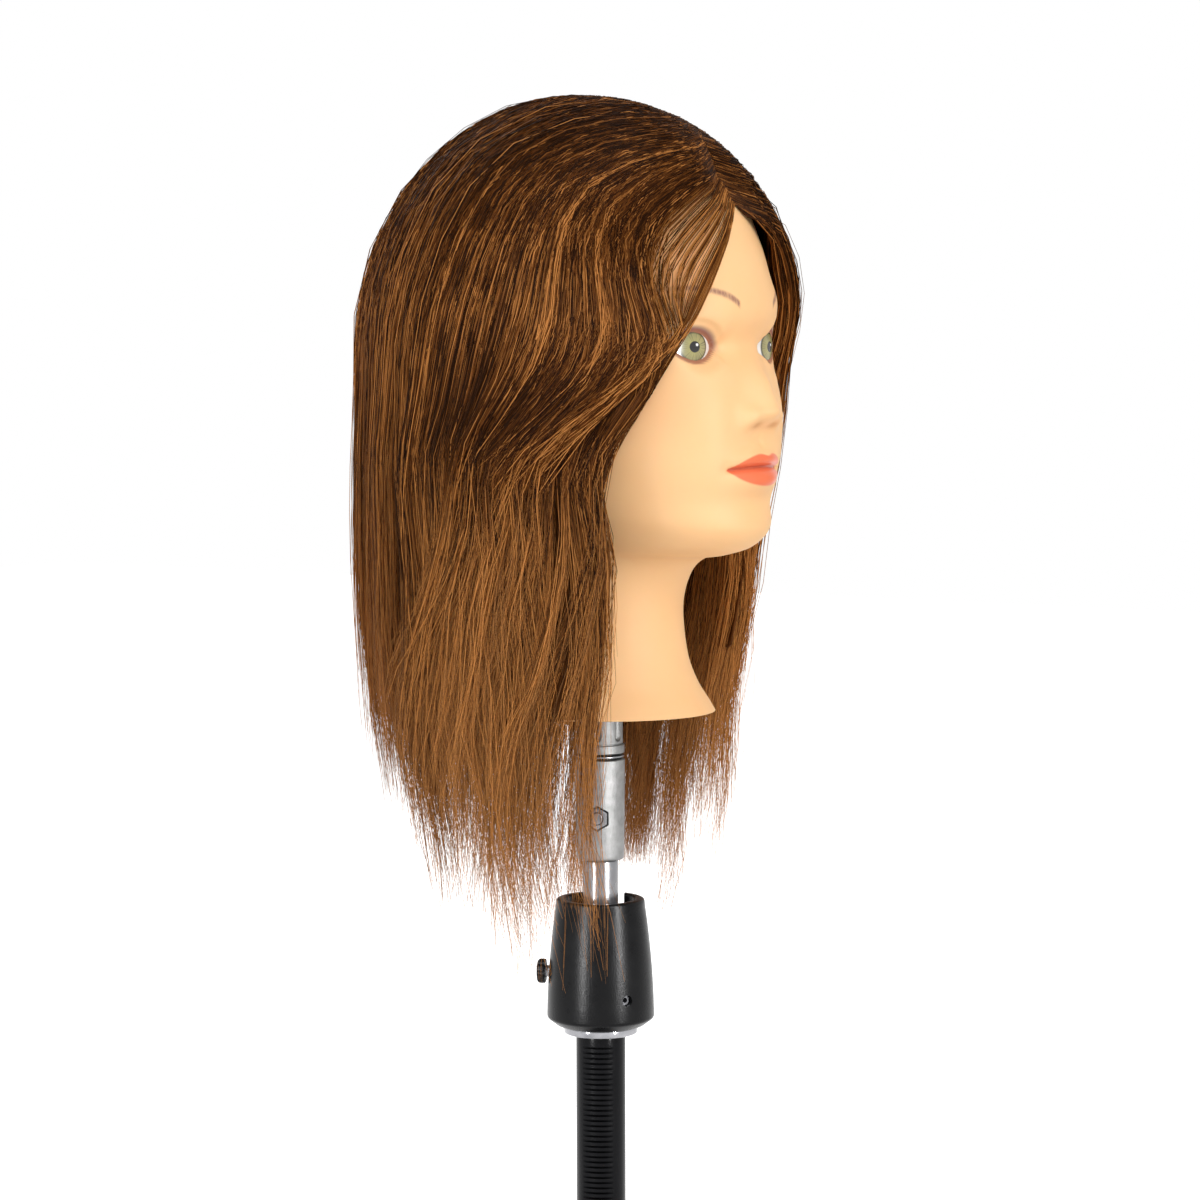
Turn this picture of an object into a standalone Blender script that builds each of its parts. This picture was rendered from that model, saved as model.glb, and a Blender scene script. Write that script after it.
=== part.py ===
# Mannequin training head on a ball-jointed holder and the top of its rack column.
# Metres, +Z up. Origin at the centre of the column's foot, face towards -Y, the head's left side at +X.

import math

import bpy
import bmesh
from mathutils import Matrix, Vector
from mathutils.bvhtree import BVHTree

# Clearances
FIT_GAP = 0.0003  # between pieces that touch
HAIR_CLEARANCE = 0.0036  # hair lengths above the skin
HAIR_EDGE_LIFT = 0.0042  # further clearance where the hair passes over the eyes' corners
PLUG_CLEARANCE = 0.0004  # fluted plug in the neck socket
FLANGE_CLEARANCE = 0.003  # socket's flange in the neck's opening

# Column
COLUMN_DIAMETER = 0.025
COLUMN_BORE = 0.017
COLUMN_LENGTH = 0.1159
RACK_PITCH = 0.00265
RACK_GROOVE = 0.0011
RACK_DEPTH = 0.0027
RACK_MARGIN = 0.0028  # plain tube above and below the teeth
FOOT_FLANGE = 0.004
FOOT_PLUG_LENGTH = 0.012
FOOT_CHAMFER = 0.001
FLANGE_DIAMETER = 0.0375
FLANGE_THICKNESS = 0.004
FLANGE_SPIGOT_LENGTH = 0.014
STUD_DIAMETER = 0.0095
STUD_LENGTH = 0.034
STUD_IN_FLANGE = 0.0165  # length of stud below the flange's top face

# Holder: its front carries the rack and the nut, its back the drop notch
HOLDER_TURN = math.radians(-65)
HOUSING_HEIGHT = 0.0642
HOUSING_FOOT_RADIUS = 0.0222
HOUSING_BELLY_RADIUS = 0.0272
HOUSING_RIM_RADIUS = 0.0223
HOUSING_BORE_RADIUS = 0.0175
HOUSING_FLOOR = 0.0237  # bore floor above the housing's foot
RIM_ROUND = 0.0016
BALL_RADIUS = 0.0155
BALL_BELOW_RIM = 0.016
STEM_RADIUS = 0.009
NOTCH_CLEARANCE = 0.0011
GRUB_RADIUS = 0.0025
GRUB_HEIGHT = 0.0160  # above the housing's foot
GRUB_RECESS = 0.0014
GRUB_TURN = math.radians(38)
GRUB_SOCKET = 0.0025  # across flats

# Ball seat and its lock
SEAT_RIM_BELOW_BALL = 0.0098
SEAT_BOSS_RADIUS = 0.0037
SEAT_FLOOR_CLEARANCE = 0.0012
RING_HEIGHT = 0.0045
RING_ABOVE_BALL = 0.004
RING_MOUTH_RADIUS = 0.0141
LOCK_HEIGHT = 0.0262  # screw axis above the housing's foot
LOCK_SCREW_RADIUS = 0.003
LOCK_PAD_LENGTH = 0.0055
KNOB_RADIUS = 0.0062
KNOB_LENGTH = 0.0044
KNOB_STANDOFF = 0.0009
KNOB_SCALLOPS = 8
KNOB_SCALLOP_RADIUS = 0.0016

# Spigot and swivel
STEM_SHOULDER = 0.0357  # above the ball's centre
TENON_RADIUS = 0.0055
TENON_LENGTH = 0.041
SPIGOT_RADIUS = 0.0125
SPIGOT_FOOT_RADIUS = 0.0121
SPIGOT_HEIGHT = 0.051
SPIGOT_ROUND = 0.002
BOLT_RADIUS = 0.003
BOLT_ABOVE_FOOT = 0.022
BOLT_HEAD_RADIUS = 0.005
BOLT_HEAD_LENGTH = 0.0044
NUT_FLATS = 0.010
NUT_THICKNESS = 0.0044
NUT_POCKET_FLATS = 0.0116
POCKET_FLOOR = 0.0076  # distance of both pocket floors from the spigot's axis
FRICTION_WASHER_RADIUS = 0.0113
FRICTION_WASHER_THICKNESS = 0.0006
STEEL_WASHER_RADIUS = 0.0122
STEEL_WASHER_THICKNESS = 0.0008
SWIVEL_SCREW_RADIUS = 0.004
SWIVEL_SCREW_IN_SPIGOT = 0.0075
SWIVEL_HEAD_RADIUS = 0.0062
SWIVEL_HEAD_LENGTH = 0.008
SWIVEL_SOCKET_FLATS = 0.006

# Fluted plug
COLLAR_RADIUS = 0.0123
COLLAR_HEIGHT = 0.0042
COLLAR_GROOVE = 0.0007
COLLAR_GROOVE_DEPTH = 0.0009
PLUG_FOOT_RADIUS = 0.0116
PLUG_TOP_RADIUS = 0.0104
PLUG_LENGTH = 0.072  # collar included
PLUG_CHAMFER = 0.0015
PLUG_COUNTERBORE_DEPTH = 0.020
FLUTE_COUNT = 6
FLUTE_RADIUS = 0.0027
FLUTE_DEPTH = 0.0018
FLUTE_START = 0.0058  # lower end of the flutes above the collar's foot
PLUG_SHOWN = 0.0218  # length of the plug below the neck's base

# Neck socket
SOCKET_WALL = 0.005
SOCKET_TOP = 0.004
SOCKET_SPARE_DEPTH = 0.003
SOCKET_FLANGE = 0.004

# Head: sections from the crown down to the neck's base, in the head's own frame at the neck's base.
# Each holds the forward distance and height of its front and back ends, and its half width.
HEAD_SECTIONS = (
    (-0.008, 0.2950, -0.012, 0.2950, 0.0),
    (0.030, 0.2905, -0.048, 0.2895, 0.036),
    (0.058, 0.2730, -0.076, 0.2720, 0.056),
    (0.074, 0.2550, -0.092, 0.2530, 0.0665),
    (0.084, 0.2340, -0.101, 0.2300, 0.073),
    (0.090, 0.2150, -0.105, 0.2070, 0.0755),
    (0.094, 0.1970, -0.104, 0.1870, 0.075),
    (0.0925, 0.1810, -0.100, 0.1700, 0.073),
    (0.0925, 0.1630, -0.093, 0.1540, 0.070),
    (0.0925, 0.1390, -0.082, 0.1350, 0.065),
    (0.094, 0.1210, -0.074, 0.1220, 0.060),
    (0.0925, 0.1060, -0.069, 0.1130, 0.056),
    (0.0935, 0.0930, -0.065, 0.1060, 0.0515),
    (0.085, 0.0840, -0.062, 0.0990, 0.047),
    (0.071, 0.0795, -0.059, 0.0920, 0.0445),
    (0.057, 0.0770, -0.056, 0.0840, 0.043),
    (0.048, 0.0690, -0.053, 0.0730, 0.0425),
    (0.043, 0.0530, -0.050, 0.0530, 0.0425),
    (0.045, 0.0300, -0.0505, 0.0300, 0.044),
    (0.0500, 0.0155, -0.0532, 0.0155, 0.0482),
    (0.0562, 0.0050, -0.0572, 0.0050, 0.0545),
    (0.0590, 0.0, -0.0592, 0.0, 0.0575),
)
WIDEST_AT = 0.54  # place of the widest point between a section's front and back ends
SKIN_WALL = 0.005
FACE_WALL = 0.015  # further thickness behind the face
CORE_GAP = 0.0012
NECK_SECTION = 17  # from here down the wall is even all round
CROWN_SECTIONS = 4  # sections over which the crown's inset fades out
INSET_FIRST_SECTION = 0.35  # an inset form's top
HEAD_AROUND = 42
HEAD_STATIONS = 40
CORE_AROUND = 20
CORE_STATIONS = 18

# Face, measured on the midline or from it, heights above the neck's base
EYE_HEIGHT = 0.1815
EYE_FROM_MIDLINE = 0.0310
EYE_WIDTH = 0.034
EYE_UPPER = 0.0080  # lid arc above the eye's corners
EYE_LOWER = 0.0066
EYE_CURVE_RADIUS = 0.018
EYE_FRONT = 0.0788  # forward distance of the eye's surface
EYE_THICKNESS = 0.007
NOSE_TIP_HEIGHT = 0.1475
NOSE_PROTRUSION = 0.0105
NOSE_UNDERSIDE = 0.009  # height from the tip down to the lip
NOSE_BRIDGE = 0.0072  # half width between the eyes
NOSE_SPREAD = 0.0040  # further half width at the tip
NOSE_CURVE = 1.25  # how late the bridge rises to the tip
MOUTH_HEIGHT = 0.1235
FACE_BEHIND = 0.020  # forward distance where the features have faded out
FACE_FADE = 0.030  # depth over which they fade
# Features: how far out or in, distance from the midline, height, spread across, spread in height
FACE_BUMPS = (
    (0.0042, 0.0128, NOSE_TIP_HEIGHT - 0.0035, 0.0056, 0.0060),  # nostril wings
    (-0.0042, EYE_FROM_MIDLINE * 0.55, EYE_HEIGHT, 0.0100, 0.0130),  # beside the bridge
    (-0.0048, EYE_FROM_MIDLINE * 1.06, EYE_HEIGHT, 0.0180, 0.0140),  # eye sockets
    (0.0014, EYE_FROM_MIDLINE, EYE_HEIGHT + 0.024, 0.020, 0.008),  # brows
    (0.0046, 0.040, EYE_HEIGHT - 0.021, 0.018, 0.018),  # cheekbones
    (0.0056, 0.0, MOUTH_HEIGHT + 0.0046, 0.0165, 0.0042),  # upper lip
    (0.0062, 0.0, MOUTH_HEIGHT - 0.0062, 0.0150, 0.0052),  # lower lip
    (-0.0022, 0.0, MOUTH_HEIGHT - 0.0005, 0.017, 0.0020),  # between the lips
    (-0.0024, 0.0, MOUTH_HEIGHT - 0.0160, 0.016, 0.0050),  # above the chin
)

# Hair: a dome over the skull and a curtain below the dome's middle
HAIR_FORWARD = -0.010
HAIR_HEIGHT = 0.177
HAIR_HALF_WIDTH = 0.100
HAIR_HALF_LENGTH = 0.121
HAIR_HALF_HEIGHT = 0.131
PARTING_FRONT = math.radians(38)  # elevation of the parting's front end on the dome
PARTING_BACK = math.radians(102)
PARTING_HALF_WIDTH = 0.0022
HAIR_WALL = 0.020
HAIR_TIP_WALL = 0.006
HAIR_LEAST_WALL = 0.0025
HAIR_SECTION_GAP = 0.0008
HAIR_SHARE_ON_DOME = 0.40
HAIR_AROUND = 8
HAIR_ALONG = 16
HAIR_LOCK_STEP = 0.007  # neighbouring locks end this far apart
HAIR_HUG = 0.07  # share by which the front lengths draw in beside the face
HAIR_HUG_SHARE = 0.3  # part of each side that draws in
HAIR_NARROWING = 0.07  # share by which the curtain narrows down to its tips
# Front edge of the curtain: height, and angle from straight ahead on the right and on the left
HAIR_EDGE = (
    (0.177, math.radians(37), math.radians(30)),
    (0.150, math.radians(46), math.radians(35)),
    (0.127, math.radians(58), math.radians(44)),
    (0.080, math.radians(53), math.radians(58)),
    (0.030, math.radians(54), math.radians(63)),
    (0.005, math.radians(58), math.radians(65)),
    (-0.120, math.radians(62), math.radians(67)),
)
# Tips of the hair: angle from straight ahead, and height on the right and on the left
HAIR_TIPS = (
    (math.radians(25), -0.076, -0.016),
    (math.radians(50), -0.076, -0.020),
    (math.radians(70), -0.092, -0.040),
    (math.radians(90), -0.078, -0.062),
    (math.radians(120), -0.036, -0.080),
    (math.radians(150), -0.014, -0.062),
    (math.radians(180), -0.030, -0.030),
)

ROUND_STEPS = 20
SMALL_STEPS = 14

# Heights along the axis, from the foot up
COLUMN_FOOT = FOOT_FLANGE + FIT_GAP
COLUMN_TOP = COLUMN_FOOT + COLUMN_LENGTH
FLANGE_FOOT = COLUMN_TOP + FIT_GAP
FLANGE_TOP = FLANGE_FOOT + FLANGE_THICKNESS
HOUSING_FOOT = FLANGE_TOP + FIT_GAP
HOUSING_RIM = HOUSING_FOOT + HOUSING_HEIGHT
BALL_CENTRE = HOUSING_RIM - BALL_BELOW_RIM
LOCK_AXIS = HOUSING_FOOT + LOCK_HEIGHT
SPIGOT_FOOT = STEM_SHOULDER + FIT_GAP  # from here, heights above the ball's centre
SPIGOT_TOP = SPIGOT_FOOT + SPIGOT_HEIGHT
LOWER_WASHER = SPIGOT_TOP + FIT_GAP
STEEL_WASHER = LOWER_WASHER + FRICTION_WASHER_THICKNESS + FIT_GAP
UPPER_WASHER = STEEL_WASHER + STEEL_WASHER_THICKNESS + FIT_GAP
PLUG_FOOT = UPPER_WASHER + FRICTION_WASHER_THICKNESS + FIT_GAP
SCREW_FOOT = SPIGOT_TOP - SWIVEL_SCREW_IN_SPIGOT
SCREW_HEAD = PLUG_FOOT + PLUG_LENGTH - PLUG_COUNTERBORE_DEPTH + FIT_GAP
NECK_BASE = PLUG_FOOT + PLUG_SHOWN
SOCKET_DEPTH = PLUG_LENGTH - PLUG_SHOWN + SOCKET_SPARE_DEPTH

for leftover in list(bpy.data.objects):
    bpy.data.objects.remove(leftover, do_unlink=True)

PARTS = bpy.data.collections.new("mannequin_training_head")
CUTTERS = bpy.data.collections.new("cutters")
bpy.context.scene.collection.children.link(PARTS)
bpy.context.scene.collection.children.link(CUTTERS)


def finish(name, colour, roughness, metallic=0.0):
    made = bpy.data.materials.new(name)
    made.use_nodes = True
    shader = made.node_tree.nodes["Principled BSDF"]
    shader.inputs["Base Color"].default_value = (*colour, 1.0)
    shader.inputs["Roughness"].default_value = roughness
    shader.inputs["Metallic"].default_value = metallic
    return made


def empty(name, parent, location, turn=0.0):
    axis = bpy.data.objects.new(name, None)
    PARTS.objects.link(axis)
    axis.parent = parent
    axis.location = location
    axis.rotation_euler.z = turn
    return axis


def place(name, shape, parent, material=None, location=(0, 0, 0), rotation=(0, 0, 0)):
    """Makes an object from a bmesh; one without a material is a cutter."""
    mesh = bpy.data.meshes.new(name)
    shape.to_mesh(mesh)
    shape.free()
    mesh.shade_smooth()
    mesh.set_sharp_from_angle(angle=math.radians(35))
    made = bpy.data.objects.new(name, mesh)
    made.parent = parent
    made.location = location
    made.rotation_euler = rotation
    if material:
        PARTS.objects.link(made)
        mesh.materials.append(material)
    else:
        CUTTERS.objects.link(made)
        made.hide_render = True
        made.display_type = "WIRE"
    return made


def turned(name, profile, parent, material=None, steps=ROUND_STEPS, **placing):
    """Turns a profile of (radius, height) points, listed down its outer side, about Z."""
    shape = bmesh.new()
    points = [shape.verts.new((radius, 0, height)) for radius, height in profile]
    for first, second in zip(points, points[1:]):
        shape.edges.new((first, second))
    if profile[0][0] > 0:
        shape.edges.new((points[-1], points[0]))
    made = place(name, shape, parent, material, **placing)
    screw = made.modifiers.new("turn", "SCREW")
    screw.steps = steps
    screw.render_steps = steps
    screw.use_merge_vertices = True
    screw.merge_threshold = 0.00001
    screw.use_smooth_shade = False
    return made


def rod(radius, low, high):
    return [(0, high), (radius, high), (radius, low), (0, low)]


def tube(outer, inner, low, high):
    return [(outer, high), (outer, low), (inner, low), (inner, high)]


def arc(radius, centre_height, start, end, steps):
    """Points of (radius, height) on a circle about the axis; angles from level, in degrees."""
    angles = [math.radians(start + (end - start) * i / steps) for i in range(steps + 1)]
    return [(radius * math.cos(a), centre_height + radius * math.sin(a)) for a in angles]


def prism(flats, low, high):
    """Hexagonal bar along Z with a corner on +X."""
    shape = bmesh.new()
    across = flats / math.sqrt(3)
    bmesh.ops.create_cone(
        shape, cap_ends=True, segments=6, radius1=across, radius2=across, depth=high - low
    )
    bmesh.ops.translate(shape, verts=shape.verts, vec=(0, 0, (low + high) / 2))
    return shape


def change(target, cutter, operation="DIFFERENCE"):
    modifier = target.modifiers.new(cutter.name, "BOOLEAN")
    modifier.operation = operation
    modifier.object = cutter


def interpolate(rows, place_in_rows):
    """Catmull-Rom through equally spaced rows of numbers."""
    last = len(rows) - 1
    place_in_rows = min(max(place_in_rows, 0.0), last)
    row = min(int(place_in_rows), last - 1)
    t = place_in_rows - row
    before, here, after, beyond = (rows[min(max(row + k, 0), last)] for k in (-1, 0, 1, 2))
    mixed = []
    for a, b, c, d in zip(before, here, after, beyond):
        square = a - 2.5 * b + 2 * c - d / 2
        cube = 1.5 * (b - c) + (d - a) / 2
        mixed.append(b + t * (c - a) / 2 + t**2 * square + t**3 * cube)
    return mixed


def along(table, where, column):
    """Smooth-stepped reading of a table whose first column rises or falls steadily."""
    rows = sorted(table)
    if where <= rows[0][0]:
        return rows[0][column]
    for low, high in zip(rows, rows[1:]):
        if where <= high[0]:
            t = (where - low[0]) / (high[0] - low[0])
            return low[column] + (high[column] - low[column]) * t * t * (3 - 2 * t)
    return rows[-1][column]


FOAM = finish("foam", (0.85, 0.80, 0.62), 0.9)
SKIN = finish("skin_vinyl", (0.95, 0.66, 0.38), 0.45)
EYE = finish("eye_gloss", (0.90, 0.90, 0.86), 0.15)
HAIR = finish("brown_hair", (0.19, 0.075, 0.028), 0.5)
SOCKET_PLASTIC = finish("socket_plastic", (0.75, 0.72, 0.66), 0.5)
ALUMINIUM = finish("cast_aluminium", (0.62, 0.63, 0.65), 0.4, 1.0)
STEEL = finish("bright_steel", (0.70, 0.70, 0.72), 0.25, 1.0)
CHROME = finish("chrome", (0.80, 0.80, 0.82), 0.12, 1.0)
BLACK_PAINT = finish("black_paint", (0.015, 0.015, 0.016), 0.4)
BLACK_PLASTIC = finish("black_plastic", (0.02, 0.02, 0.022), 0.45)
NYLON = finish("nylon", (0.80, 0.79, 0.74), 0.5)
BRASS = finish("brass", (0.72, 0.52, 0.22), 0.3, 1.0)

holder_axis = empty("holder_axis", None, (0, 0, 0), HOLDER_TURN)
tilt_axis = empty("tilt_axis", holder_axis, (0, 0, BALL_CENTRE))
swivel_axis = empty("swivel_axis", tilt_axis, (0, 0, PLUG_FOOT))
head_axis = empty("head_axis", tilt_axis, (0, 0, NECK_BASE), -HOLDER_TURN)


def make_column():
    radius = COLUMN_DIAMETER / 2
    bore = COLUMN_BORE / 2
    turned(
        "column_foot_cap",
        [
            (0, FOOT_FLANGE + FOOT_PLUG_LENGTH),
            (bore - FIT_GAP, FOOT_FLANGE + FOOT_PLUG_LENGTH),
            (bore - FIT_GAP, FOOT_FLANGE),
            (radius, FOOT_FLANGE),
            (radius, FOOT_CHAMFER),
            (radius - FOOT_CHAMFER, 0),
            (0, 0),
        ],
        holder_axis,
        BLACK_PLASTIC,
    )
    column = turned(
        "rack_column", tube(radius, bore, COLUMN_FOOT, COLUMN_TOP), holder_axis, BLACK_PAINT, steps=20
    )
    teeth = bmesh.new()
    groove_count = int((COLUMN_LENGTH - 2 * RACK_MARGIN) / RACK_PITCH)
    for i in range(groove_count):
        height = COLUMN_FOOT + RACK_MARGIN + (i + 0.5) * RACK_PITCH
        size = Matrix.Diagonal((COLUMN_DIAMETER, RACK_DEPTH * 2, RACK_GROOVE, 1))
        bmesh.ops.create_cube(
            teeth, size=1, matrix=Matrix.Translation((0, -radius, height)) @ size
        )
    change(column, place("rack_grooves", teeth, holder_axis))
    spigot_radius = bore - FIT_GAP
    stud_hole = STUD_DIAMETER / 2 + FIT_GAP
    flange_radius = FLANGE_DIAMETER / 2
    edge = FLANGE_THICKNESS / 5
    turned(
        "column_flange",
        [
            (stud_hole, FLANGE_TOP),
            (flange_radius - edge, FLANGE_TOP),
            (flange_radius, FLANGE_TOP - edge),
            (flange_radius, FLANGE_FOOT + edge),
            (flange_radius - edge, FLANGE_FOOT),
            (spigot_radius, FLANGE_FOOT),
            (spigot_radius, FLANGE_FOOT - FLANGE_SPIGOT_LENGTH),
            (stud_hole, FLANGE_FOOT - FLANGE_SPIGOT_LENGTH),
        ],
        holder_axis,
        CHROME,
    )
    stud_foot = FLANGE_TOP - STUD_IN_FLANGE
    turned(
        "column_stud",
        rod(STUD_DIAMETER / 2, stud_foot, stud_foot + STUD_LENGTH),
        holder_axis,
        STEEL,
        steps=SMALL_STEPS,
    )


def make_notch_cutter():
    """U-shaped slot through the housing's back wall, from the ball's centre up past the rim."""
    shape = bmesh.new()
    half = STEM_RADIUS + NOTCH_CLEARANCE
    outline = [(half, BALL_BELOW_RIM * 2)]
    outline += [(x, z) for x, z in ((half * math.cos(a), -half * math.sin(a)) for a in
                                    (math.pi * i / 10 for i in range(11)))]
    outline.append((-half, BALL_BELOW_RIM * 2))
    face = shape.faces.new([shape.verts.new((x, 0, z)) for x, z in outline])
    grown = bmesh.ops.extrude_face_region(shape, geom=[face])["geom"]
    moved = [item for item in grown if isinstance(item, bmesh.types.BMVert)]
    bmesh.ops.translate(shape, verts=moved, vec=(0, HOUSING_BELLY_RADIUS * 2, 0))
    bmesh.ops.recalc_face_normals(shape, faces=shape.faces)
    return place("notch", shape, tilt_axis)


def make_housing():
    foot, rim = HOUSING_FOOT, HOUSING_RIM
    belly, lip = HOUSING_BELLY_RADIUS, HOUSING_RIM_RADIUS
    bore = HOUSING_BORE_RADIUS
    stud_hole = STUD_DIAMETER / 2 + FIT_GAP
    stud_top = FLANGE_TOP - STUD_IN_FLANGE + STUD_LENGTH + FIT_GAP
    shoulder = HOUSING_HEIGHT - RIM_ROUND
    swell = [(t, belly - (belly - lip) * t**1.9) for t in (0.25, 0.45, 0.62, 0.76, 0.88, 1.0)]
    housing = turned(
        "ball_housing",
        [
            (0, foot + HOUSING_FLOOR),
            (bore, foot + HOUSING_FLOOR),
            (bore, rim - RIM_ROUND),
            (bore + RIM_ROUND * 0.3, rim - RIM_ROUND * 0.3),
            (bore + RIM_ROUND, rim),
            (lip - RIM_ROUND, rim),
            (lip - RIM_ROUND * 0.3, rim - RIM_ROUND * 0.3),
        ]
        + [(radius, foot + shoulder * t) for t, radius in reversed(swell)]
        + [
            (belly, foot + HOUSING_HEIGHT * 0.06),
            (HOUSING_FOOT_RADIUS, foot),
            (stud_hole, foot),
            (stud_hole, stud_top),
            (0, stud_top),
        ],
        holder_axis,
        BLACK_PLASTIC,
        steps=28,
    )
    notch = make_notch_cutter()
    change(housing, notch)
    reach = HOUSING_BELLY_RADIUS * 1.5
    lock_hole = turned(
        "lock_hole",
        rod(LOCK_SCREW_RADIUS + FIT_GAP, 0, reach),
        holder_axis,
        steps=SMALL_STEPS,
        location=(0, 0, LOCK_AXIS),
        rotation=(0, math.radians(-90), 0),
    )
    change(housing, lock_hole)
    grub_place = {"location": (0, 0, HOUSING_FOOT + GRUB_HEIGHT), "rotation": (math.pi / 2, 0, GRUB_TURN)}
    grub_hole = turned(
        "grub_hole", rod(GRUB_RADIUS + FIT_GAP, 0, reach), holder_axis, steps=SMALL_STEPS, **grub_place
    )
    change(housing, grub_hole)
    grub_end = belly - GRUB_RECESS
    grub = turned(
        "grub_screw",
        rod(GRUB_RADIUS, STUD_DIAMETER / 2 + FIT_GAP, grub_end),
        holder_axis,
        STEEL,
        steps=SMALL_STEPS,
        **grub_place,
    )
    key = place(
        "grub_key", prism(GRUB_SOCKET, grub_end - GRUB_SOCKET, reach), holder_axis, **grub_place
    )
    change(grub, key)
    ring_foot = BALL_CENTRE + RING_ABOVE_BALL
    ring_seat = math.sqrt((BALL_RADIUS + FIT_GAP) ** 2 - RING_ABOVE_BALL**2) + FIT_GAP
    ring = turned(
        "retaining_ring",
        [
            (bore - FIT_GAP, ring_foot + RING_HEIGHT),
            (bore - FIT_GAP, ring_foot),
            (ring_seat, ring_foot),
            (RING_MOUTH_RADIUS, ring_foot + RING_HEIGHT),
        ],
        holder_axis,
        STEEL,
    )
    change(ring, notch)


def make_lock():
    """Ball seat lifted by the conical pad on the lock screw's tip, at 45 degrees."""
    bowl = BALL_RADIUS + FIT_GAP
    seat_rim = BALL_CENTRE - SEAT_RIM_BELOW_BALL
    outer = HOUSING_BORE_RADIUS - FIT_GAP
    boss_foot = HOUSING_FOOT + HOUSING_FLOOR + SEAT_FLOOR_CLEARANCE
    bowl_edge = math.degrees(math.asin(SEAT_RIM_BELOW_BALL / bowl))
    skirt_foot = seat_rim - BALL_RADIUS * 0.3
    boss_slope = skirt_foot - boss_foot
    turned(
        "ball_seat",
        arc(bowl, BALL_CENTRE, -90, -bowl_edge, 6)
        + [
            (outer, seat_rim),
            (outer, skirt_foot),
            (SEAT_BOSS_RADIUS + boss_slope, skirt_foot),
            (SEAT_BOSS_RADIUS, boss_foot),
            (0, boss_foot),
        ],
        holder_axis,
        NYLON,
    )
    # The pad's cone runs parallel to the boss's flank, so its apex stands off by the gap over the sine.
    apex = SEAT_BOSS_RADIUS + LOCK_AXIS - boss_foot + FIT_GAP * math.sqrt(2)
    lying = {"location": (0, 0, LOCK_AXIS), "rotation": (0, math.radians(-90), 0)}
    pad_end = apex + LOCK_PAD_LENGTH
    turned(
        "lock_pad",
        [
            (0, pad_end),
            (LOCK_SCREW_RADIUS, pad_end),
            (LOCK_SCREW_RADIUS, apex + LOCK_SCREW_RADIUS),
            (0, apex),
        ],
        holder_axis,
        BRASS,
        steps=SMALL_STEPS,
        **lying,
    )
    knob_foot = HOUSING_BELLY_RADIUS + KNOB_STANDOFF
    knob_end = knob_foot + KNOB_LENGTH
    screw_end = knob_foot + KNOB_LENGTH * 0.6
    turned(
        "lock_screw",
        rod(LOCK_SCREW_RADIUS, pad_end + FIT_GAP, screw_end),
        holder_axis,
        STEEL,
        steps=SMALL_STEPS,
        **lying,
    )
    dome = KNOB_LENGTH * 0.3
    knob = turned(
        "lock_knob",
        [
            (0, knob_end),
            (KNOB_RADIUS * 0.55, knob_end - dome * 0.25),
            (KNOB_RADIUS * 0.9, knob_end - dome * 0.75),
            (KNOB_RADIUS, knob_end - dome * 1.4),
            (KNOB_RADIUS, knob_foot + dome * 0.4),
            (KNOB_RADIUS * 0.92, knob_foot),
            (LOCK_SCREW_RADIUS + FIT_GAP, knob_foot),
            (LOCK_SCREW_RADIUS + FIT_GAP, screw_end + FIT_GAP),
            (0, screw_end + FIT_GAP),
        ],
        holder_axis,
        BLACK_PLASTIC,
        steps=16,
        **lying,
    )
    scallops = bmesh.new()
    for i in range(KNOB_SCALLOPS):
        turn = 2 * math.pi * i / KNOB_SCALLOPS
        spot = (KNOB_RADIUS + KNOB_SCALLOP_RADIUS * 0.45) * Vector((math.cos(turn), math.sin(turn), 0))
        spot.z = knob_foot + KNOB_LENGTH / 2
        bmesh.ops.create_cone(
            scallops,
            cap_ends=True,
            segments=6,
            radius1=KNOB_SCALLOP_RADIUS,
            radius2=KNOB_SCALLOP_RADIUS,
            depth=KNOB_LENGTH * 2,
            matrix=Matrix.Translation(spot),
        )
    change(knob, place("knob_scallops", scallops, holder_axis, **lying))


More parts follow.
